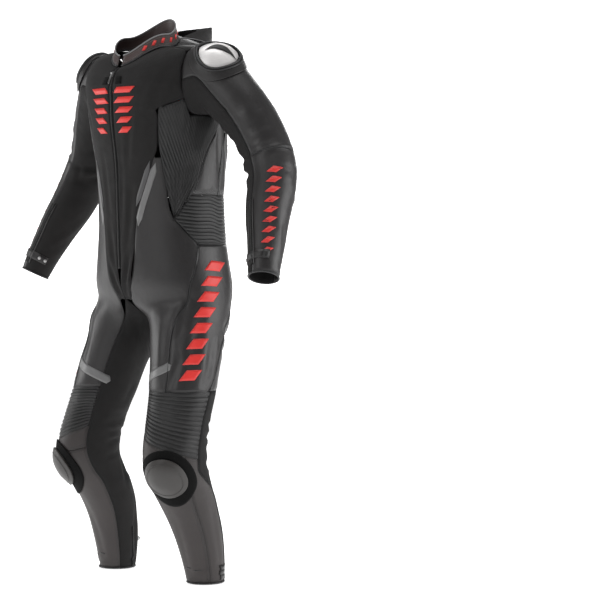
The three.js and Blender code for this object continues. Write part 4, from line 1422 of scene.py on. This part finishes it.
@dataclass
class Sleeve(LimbPart):
    """One sleeve: outer leather, stretch inner half, padded plate seat, bands, bars and cuff."""

    limb: ClassVar[Limb] = ARM
    band_width: float = 15 * MM
    strap_width: float = 20 * MM
    strap_along: float = 3.74
    vent_width: float = 19 * MM
    outer: list[Fold] = field(default_factory=lambda: folds(
        (0.9, 18, 1.05, 100, 8, -3.0), (1.15, 10, 1.3, 96, 8, 2.6), (1.38, 24, 1.45, 112, 9, -3.6),
        (1.62, 14, 1.66, 100, 8, -3.0), (1.82, 40, 1.9, 132, 8, 3.0), (0.95, 122, 1.3, 204, 10, -4.2),
        (1.4, 142, 1.6, 212, 10, -4.6), (1.74, 130, 1.8, 216, 9, -4.0), (2.15, 60, 2.3, 142, 8, -3.2),
        (2.6, 28, 3.2, 70, 9, -2.2, 0.1), (3.1, 100, 3.6, 122, 9, -2.6), (3.55, 18, 3.7, 112, 7, -2.6),
        (3.8, 60, 3.85, 160, 7, -2.2), (2.45, 96, 2.6, 160, 8, 2.4), (0.45, -60, 0.8, 20, 10, -3.0)))
    inner: list[Fold] = field(default_factory=lambda: folds(
        (0.5, -82, 1.1, -28, 9, -5.0), (0.72, -122, 1.3, -50, 9, -4.2), (1.2, -102, 1.5, -18, 8, -4.6),
        (1.6, -96, 1.75, -8, 8, -5.0), (1.86, -100, 2.0, -14, 8, -5.6), (2.1, -90, 2.26, -4, 8, -4.6),
        (2.4, -112, 2.5, -30, 8, -3.2), (3.0, -80, 3.3, -40, 8, -2.6), (3.4, -100, 3.6, -50, 7, -3.0),
        (1.95, -170, 2.1, -96, 9, -4.2), (2.7, -120, 3.2, -96, 9, 2.6), (1.4, -150, 1.7, -100, 10, -4.4)))

    def cut(self) -> None:
        """Cut the sleeve's panels and the padded seat of the shoulder plate."""
        end = self.end()
        outer = self.own(self.outer, 0.05, 7, 0.8)
        inner = self.own(self.inner, 0.04, -6, 1.15)
        cut_panels((("sleeve_upper", Finish.HIDE, "leather"), ("forearm", Finish.HIDE, "leather")),
                   (end,), ARM, {end: outer})
        cut_panels((("sleeve_inner", Finish.CLOTH, "stretch"),), (end,), ARM, {end: inner})
        cut_panels((("plate_surround", Finish.BODY_HIDE, "leather"),), (end,), ARM, {}, fill=0.5, levels=3)

    def dress(self) -> None:
        """Set the plate, the bands, the bars and the cuff's fittings."""
        end = self.end()
        self.set_plate(end)
        elbow = [self.at(2.0 + 0.05 * math.sin(math.radians(turn)), turn)[0]
                 for turn in range(105, 190, 14)]
        ribbon("elbow_band" + end, elbow, self.band_width, Finish.DIM_SILVER, "leather", point=0.1)
        bars = [Bar(0, 108 - 27 * k, 24 - k, 17, 8) for k in range(9)]
        middle, outward = self.at(2.96, 54)
        rise = self.at(2.4, 56)[0] - self.at(3.4, 52)[0]
        printed("forearm_bars" + end, middle, outward, rise, bars, Finish.RED, "leather")
        self.finish_cuff(end)

    def set_plate(self, end: str) -> None:
        """Round the metal plate, pipe its edge twice and lay its vent."""
        plate = "shoulder_plate" + end
        solid_smooth(plate, Finish.PLATE, "plate")
        bm = merged_copy(plate)
        outer_side(bm)
        top = smoothed(bm, 2)
        outline = chains(top)[0]
        loop = [vertex.co.copy() for vertex in outline[:-1]]
        SKIN.add(top)
        centre = sum(loop, Vector()) / len(loop)
        for name, grow, radius in (("plate_piping", 1.07, 2.6 * MM),
                                   ("plate_second_piping", 1.24, 2.0 * MM)):
            ring = [centre + (point - centre) * grow for point in thinned(loop, 9 * MM)]
            tube(name + end, ring, radius, Finish.CORD, "leather", lift=0.6 * radius, closed=True)
        outward = sum((face.normal * face.calc_area() for face in top.faces), Vector()).normalized()
        top.free()
        self.open_vent(end, loop, centre, outward)

    def open_vent(self, end: str, loop: list[Vector], centre: Vector, outward: Vector) -> None:
        """Lay the dark curved vent over the upper part of the shoulder plate.

        Args:
            end: The ending of this side's names.
            loop: The plate's outline.
            centre: The outline's middle.
            outward: The way that the plate faces.
        """
        high = UP - outward * outward.z
        high.normalize()
        rear = high.cross(outward) * self.side
        tall = max(abs((point - centre).dot(high)) for point in loop)
        wide = max(abs((point - centre).dot(rear)) for point in loop)
        route = []
        for across, up in ((-0.66, 0.1), (-0.25, 0.2), (0.15, 0.12), (0.5, -0.12), (0.74, -0.4)):
            start = centre + rear * across * wide + high * up * tall + outward * 0.08
            found, *_ = SKIN.search().ray_cast(start, -outward)
            route.append(found or start)
        ribbon("plate_vent" + end, route, self.vent_width, Finish.VENT, "plate", lift=0.4 * MM, point=0.4)

    def finish_cuff(self, end: str) -> None:
        """Bind the cuff and lay its strap, tab, snap, zip and elbow seam."""
        self.bind_hems(("forearm", "sleeve_inner"), 2.2 * MM, 0.3 * MM)
        elbow = max(SHELLS["forearm" + end].borders, key=mean_height)
        tube("elbow_seam" + end, thinned(elbow), 1.0 * MM, Finish.CORD, "leather")
        strap = [self.at(self.strap_along, turn)[0] for turn in range(-75, 46, 15)]
        ribbon("cuff_strap" + end, strap, self.strap_width, Finish.BODY_HIDE, "leather", lift=0.5 * MM,
               thick=1.4 * MM)
        spot, outward = self.at(self.strap_along, 50)
        printed("cuff_tab" + end, spot, outward, UP, [Bar(0, 0, 17, 22, 2)], Finish.VENT, "fuzz",
                lift=1.2 * MM, thick=1.6 * MM)
        route = [self.at(along, -12 + 4 * along)[0] for along in (2.75, 3.0, 3.3, 3.6, 3.9)]
        ribbon("cuff_zip_tape" + end, route, 13 * MM, Finish.TAPE, "tape", thick=0.8 * MM)
        zip_teeth("cuff_zip_teeth" + end, route, "tape", lift=1.6 * MM)
        for name, shift in (("cuff_zip_front", 8 * MM), ("cuff_zip_back", -8 * MM)):
            ribbon(name + end, route, 3.2 * MM, Finish.BODY_HIDE, "leather", shift=shift, thick=1.6 * MM)
        for k, turn in enumerate((-66, -40)):
            spot, outward = self.at(self.strap_along, turn)
            seat = seat_at(spot + outward * 2.9 * MM, outward, -UP)
            bm = bmesh.new()
            bmesh.ops.create_cone(bm, cap_ends=True, segments=14, radius1=4.6 * MM, radius2=3.6 * MM,
                                  depth=1.8 * MM, matrix=seat)
            finished(bm, f"cuff_snap{end}_{k}", Finish.FITTING, "fitting")


@dataclass
class Leg(LimbPart):
    """One leg: hip and thigh leather, seat, stretch panels, knee with its slider, shin, calf and hem."""

    limb: ClassVar[Limb] = LEG
    band_width: float = 22 * MM
    piping: float = 1.1 * MM
    upper: list[Fold] = field(default_factory=lambda: folds(
        (0.2, 20, 1.4, 10, 12, -2.6), (0.9, 42, 1.8, 22, 10, -2.6), (0.1, 72, 1.2, 60, 14, -3.2),
        (0.5, 100, 1.6, 90, 12, -3.6), (1.2, 112, 1.9, 96, 10, -2.6), (0.25, 120, 0.5, 202, 16, -6.0, 0.1),
        (0.6, 130, 0.9, 192, 12, -4.2), (0.1, 150, 0.42, 230, 10, 3.4), (1.1, 140, 1.4, 206, 11, -3.6),
        (1.55, 120, 1.7, 190, 9, -3.4), (0.0, 40, 0.7, 26, 9, 2.6), (0.85, 160, 1.2, 220, 10, -3.0)))
    inner: list[Fold] = field(default_factory=lambda: folds(
        (0.1, -60, 0.7, -100, 10, -5.0), (0.3, -50, 0.9, -120, 9, -3.6), (2.05, -150, 2.2, -58, 7, -5.0),
        (2.3, -162, 2.36, -80, 7, -5.6), (2.5, -150, 2.62, -68, 7, -4.6), (1.8, -140, 1.95, -88, 8, -4.2),
        (3.2, -150, 3.9, -100, 9, -4.2), (4.2, -140, 5.2, -112, 8, -3.0), (5.4, -150, 5.55, -70, 6, -3.0),
        (2.75, -140, 2.9, -84, 7, -3.6), (1.2, -120, 1.7, -96, 10, -2.8)))
    rear: list[Fold] = field(default_factory=lambda: folds(
        (2.1, 122, 2.25, 240, 7, -5.4), (2.35, 110, 2.42, 236, 7, -6.0), (2.6, 126, 2.72, 240, 8, -5.4),
        (2.9, 120, 3.0, 232, 8, -5.0), (3.2, 130, 3.36, 226, 8, -4.2), (3.8, 150, 4.8, 170, 9, -3.2),
        (5.3, 120, 5.5, 230, 7, -4.0), (5.65, 130, 5.8, 220, 6, -3.0), (2.0, 150, 2.05, 215, 6, 3.0)))
    lower: list[Fold] = field(default_factory=lambda: folds(
        (3.9, 10, 5.2, -8, 10, -2.2), (4.4, 52, 5.4, 46, 9, -2.6), (5.3, -20, 5.45, 40, 7, -2.6),
        (5.62, 0, 5.72, 72, 6, -2.2), (4.0, 112, 5.2, 106, 8, -3.0), (3.6, 60, 4.3, 74, 9, -2.6),
        (5.1, 60, 5.2, 130, 7, -2.4)))

    def cut(self) -> None:
        """Cut the leg's panels."""
        end = self.end()
        upper = self.own(self.upper, 0.05, 5, 0.8)
        hide, shin = Finish.HIDE, Finish.SHIN_HIDE
        cut_panels((("hip_front", hide, "leather"), ("thigh_outer", hide, "leather"),
                    ("seat", hide, "leather")), (end,), LEG, {end: upper})
        cut_panels((("inner_leg", Finish.CLOTH, "stretch"),), (end,), LEG,
                   {end: self.own(self.inner, 0.04, 6, 1.1)})
        cut_panels((("knee_back", Finish.CLOTH, "stretch"),), (end,), LEG,
                   {end: self.own(self.rear, 0.04, -7, 0.9)})
        cut_panels((("knee_ribs", Finish.RIB_HIDE, "ribs"),), (end,), LEG, {},
                   pleats=Pleats((0.0, 0.22, 1.0), 8 * MM, 2.0 * MM, fan=14))
        cut_panels((("knee_cup", shin, "shin_leather"), ("shin", shin, "shin_leather"),
                    ("calf", shin, "shin_leather")), (end,), LEG, {end: self.own(self.lower, 0.06, 5, 0.85)})
        cut_panels((("knee_pad", Finish.FUZZ, "fuzz"),), (end,), LEG, {}, levels=2, wall=1.2 * MM)

    def dress(self) -> None:
        """Set the knee slider, bands, piping, bars, darts, hems and the strap tab."""
        end = self.end()
        places = ((26, 1.14), (12, 1.22), (-4, 1.28), (-22, 1.32), (-40, 1.35), (-56, 1.37))
        band = [self.at(along, turn)[0] for turn, along in places]
        ribbon("knee_band" + end, band, self.band_width, Finish.SILVER, "leather", point=0.02)
        for name, panel, near in (("thigh_piping", "thigh_outer", (self.side * 0.19, -0.1, -0.68)),
                                  ("seat_piping", "seat", (self.side * 0.19, 0.06, -0.68)),
                                  ("calf_piping", "calf", (self.side * 0.22, -0.04, -1.2)),
                                  ("calf_back_piping", "calf", (self.side * 0.22, 0.01, -1.2))):
            pipe_seam(name + end, panel + end, near, self.piping, Finish.CORD, 0.3 * MM)
        bars = [Bar(self.side * (42 - 13 * k), 132 - 40 * k, 47 - k, 26, self.side * 11) for k in range(8)]
        middle, outward = self.at(0.28, 76)
        printed("thigh_bars" + end, middle, outward, UP, bars, Finish.RED, "leather")
        self.set_slider(end)
        self.finish_ankle(end)

    def set_slider(self, end: str) -> None:
        """Set the moulded slider with one faint raised ring."""
        node = "knee_slider" + end
        solid_smooth(node, Finish.PUCK, "puck", rim=0.7)
        bm = merged_copy(node)
        outer_side(bm)
        face = smoothed(bm, 2)
        SKIN.add(face)
        loop = [vertex.co.copy() for vertex in chains(face)[0][:-1]]
        face.free()
        centre = sum(loop, Vector()) / len(loop)
        outward = SKIN.under(centre)[1]
        ring = [centre + (point - centre) * 0.8 + outward * 8 * MM for point in thinned(loop, 12 * MM)]
        tube("slider_ring" + end, ring, 0.5 * MM, Finish.PUCK, "puck", lift=-0.3 * MM, closed=True)

    def finish_ankle(self, end: str) -> None:
        """Bind the hem and lay the darts, the zip and the strap tab."""
        self.bind_hems(("shin", "calf", "knee_back", "inner_leg"), 2.4 * MM, 0.2 * MM)
        for k, (along, first, last) in enumerate(((4.95, -12, 8), (5.15, 20, 44))):
            dart = [self.at(along, turn)[0] for turn in (first, (first + last) / 2, last)]
            tube(f"shin_dart{end}_{k}", dart, 1.3 * MM, Finish.CORD, "shin_leather")
        route = [self.at(along, -128 + 3 * along)[0] for along in (4.6, 5.0, 5.5, 5.95)]
        ribbon("ankle_zip_tape" + end, route, 12 * MM, Finish.TAPE, "tape", thick=0.8 * MM)
        zip_teeth("ankle_zip_teeth" + end, route, "tape", lift=1.4 * MM)
        spot, outward = self.at(5.55, 128)
        tab = [Bar(0, 12, 40, 12, 0), Bar(0, 0, 48, 12, 0), Bar(0, -12, 40, 12, 0)]
        printed("ankle_tab" + end, spot, outward, UP, tab, Finish.BODY_HIDE, "leather", thick=1.6 * MM)


# The studio


@dataclass(frozen=True)
class Paper:
    """The studio's pale paper, which gives off a little light so that it looks white."""

    name: str
    tones: Span
    grain: float
    glow: float
    specular: float = 0.5

    def build(self) -> bpy.types.Material:
        """Make the material."""
        low, high = self.tones
        shader = Shader(self.name)
        shader.paint(shader.blend(shader.noise(3.0), (low, low, low), (high, high, high)))
        shader.base.inputs["Emission Color"].default_value = (1.0, 1.0, 1.0, 1.0)
        grain = shader.bump(shader.noise(self.grain), 0.05 * MM)
        return shader.finish(0.9, grain, Emission_Strength=self.glow, Specular_IOR_Level=self.specular)


@dataclass
class Studio:
    """A plain pale room with soft light, and the camera at the photograph's angle."""

    turn: float = 50.0
    distance: float = 5.5
    eye: float = -0.494
    pixel: float = 2.6 * MM
    picture: int = 600
    axis_column: float = 162.5
    origin_row: float = 50.0
    floor_gap: float = 4 * MM
    room: float = 0.2
    floor_paper: Paper = Paper("floor_paper", (0.93, 0.97), 80.0, 0.72, 0.0)
    floor_size: float = 14.0
    backdrop_paper: Paper = Paper("backdrop_paper", (0.9, 1.0), 60.0, 1.0)
    backdrop_size: float = 5.0
    backdrop_gap: float = 12.0
    lamps_at: float = -0.65

    def build(self) -> None:
        """Make the floor, the lights and the camera."""
        scene = bpy.context.scene
        scene.view_settings.view_transform = "Standard"
        world = bpy.data.worlds.new("studio")
        world.use_nodes = True
        background = world.node_tree.nodes["Background"]
        background.inputs["Color"].default_value = (1.0, 1.0, 1.0, 1.0)
        background.inputs["Strength"].default_value = self.room
        scene.world = world
        self.lay_floor()
        self.hang_backdrop()
        for name, turn, height, reach, size, watts in (
                ("key", 10, 1.6, 3.2, 1.6, 26), ("left_edge", -60, 0.4, 2.6, 1.4, 22),
                ("right_edge", 130, 0.5, 2.6, 1.6, 36), ("rear", 215, 1.4, 3.0, 1.6, 26),
                ("top", 50, 3.4, 0.1, 3.0, 70)):
            self.add_light(name, turn, height, reach, size, watts)
        self.add_camera()

    def lay_floor(self) -> None:
        """Lay the pale floor just under the ankle hems."""
        place = Matrix.Translation((0, 0, CAD_BOX[0][2] - self.floor_gap))
        self.lay_paper("floor", self.floor_paper, self.floor_size, place)

    def hang_backdrop(self) -> None:
        """Hang a lit white sheet far behind the suit, as the photograph's plain white."""
        back, _ = self.view()
        turned = back.to_track_quat("Z", "Y").to_matrix().to_4x4()
        place = Matrix.Translation(-back * self.backdrop_gap) @ turned
        self.lay_paper("backdrop", self.backdrop_paper, self.backdrop_size, place)

    def view(self) -> tuple[Vector, Vector]:
        """Return the level directions from the suit to the camera, and to the picture's right."""
        angle = math.radians(self.turn)
        return Vector((math.sin(angle), -math.cos(angle), 0)), Vector((math.cos(angle), math.sin(angle), 0))

    def lay_paper(self, name: str, paper: Paper, size: float, place: Matrix) -> None:
        """Make one square sheet of the studio.

        Args:
            name: Its name.
            paper: Its finish.
            size: Half its width.
            place: Its seat, facing along its +Z.
        """
        bm = bmesh.new()
        bmesh.ops.create_grid(bm, x_segments=4, y_segments=4, size=size, matrix=place)
        mesh = bpy.data.meshes.new(name)
        bm.to_mesh(mesh)
        bm.free()
        mesh.materials.append(paper.build())
        sheet = placed(name, mesh)

    def add_light(self, name: str, turn: float, height: float, reach: float, size: float,
                  watts: float) -> None:
        """Hang one soft light round the suit, facing its middle.

        Args:
            name: Its name.
            turn: Its place round the suit in degrees, 0 in front and 90 on the wearer's left.
            height: How far it hangs above the suit's middle.
            reach: How far it hangs from the suit's axis.
            size: Its width.
            watts: Its power.
        """
        data = bpy.data.lights.new(name, "AREA")
        data.energy = watts
        data.size = size
        lamp = placed(name, data)
        angle = math.radians(turn)
        middle = Vector((0, 0, self.lamps_at))
        lamp.location = middle + Vector((math.sin(angle) * reach, -math.cos(angle) * reach, height))
        lamp.rotation_euler = (middle - lamp.location).to_track_quat("-Z", "Y").to_euler()

    def add_camera(self) -> None:
        """Set the camera so that the suit falls where the photograph shows it."""
        back, right = self.view()
        half = self.picture / 2
        target = right * (half - self.axis_column) * self.pixel
        target.z = -(half - self.origin_row) * self.pixel
        data = bpy.data.cameras.new("camera")
        data.sensor_width = 36.0
        data.lens = data.sensor_width * self.distance / (self.picture * self.pixel)
        camera = placed("camera", data)
        camera.location = back * self.distance + Vector((0, 0, self.eye))
        camera.rotation_euler = (target - camera.location).to_track_quat("-Z", "Y").to_euler()
        data.clip_end = 100
        bpy.context.scene.camera = camera


def main() -> None:
    """Build the studio and the suit, piece by piece."""
    logging.basicConfig(level=logging.INFO, format="%(name)s: %(message)s")
    Studio().build()
    parts = [Torso(), Hump(), Collar(), MainZip(), Sleeve(1), Sleeve(-1), Leg(1), Leg(-1)]
    for part in parts:
        part.cut()
    for shell in SHELLS.values():
        shell.sew()
    for part in parts:
        part.dress()
        LOG.info("%s dressed", type(part).__name__)


if __name__ == "__main__":
    main()
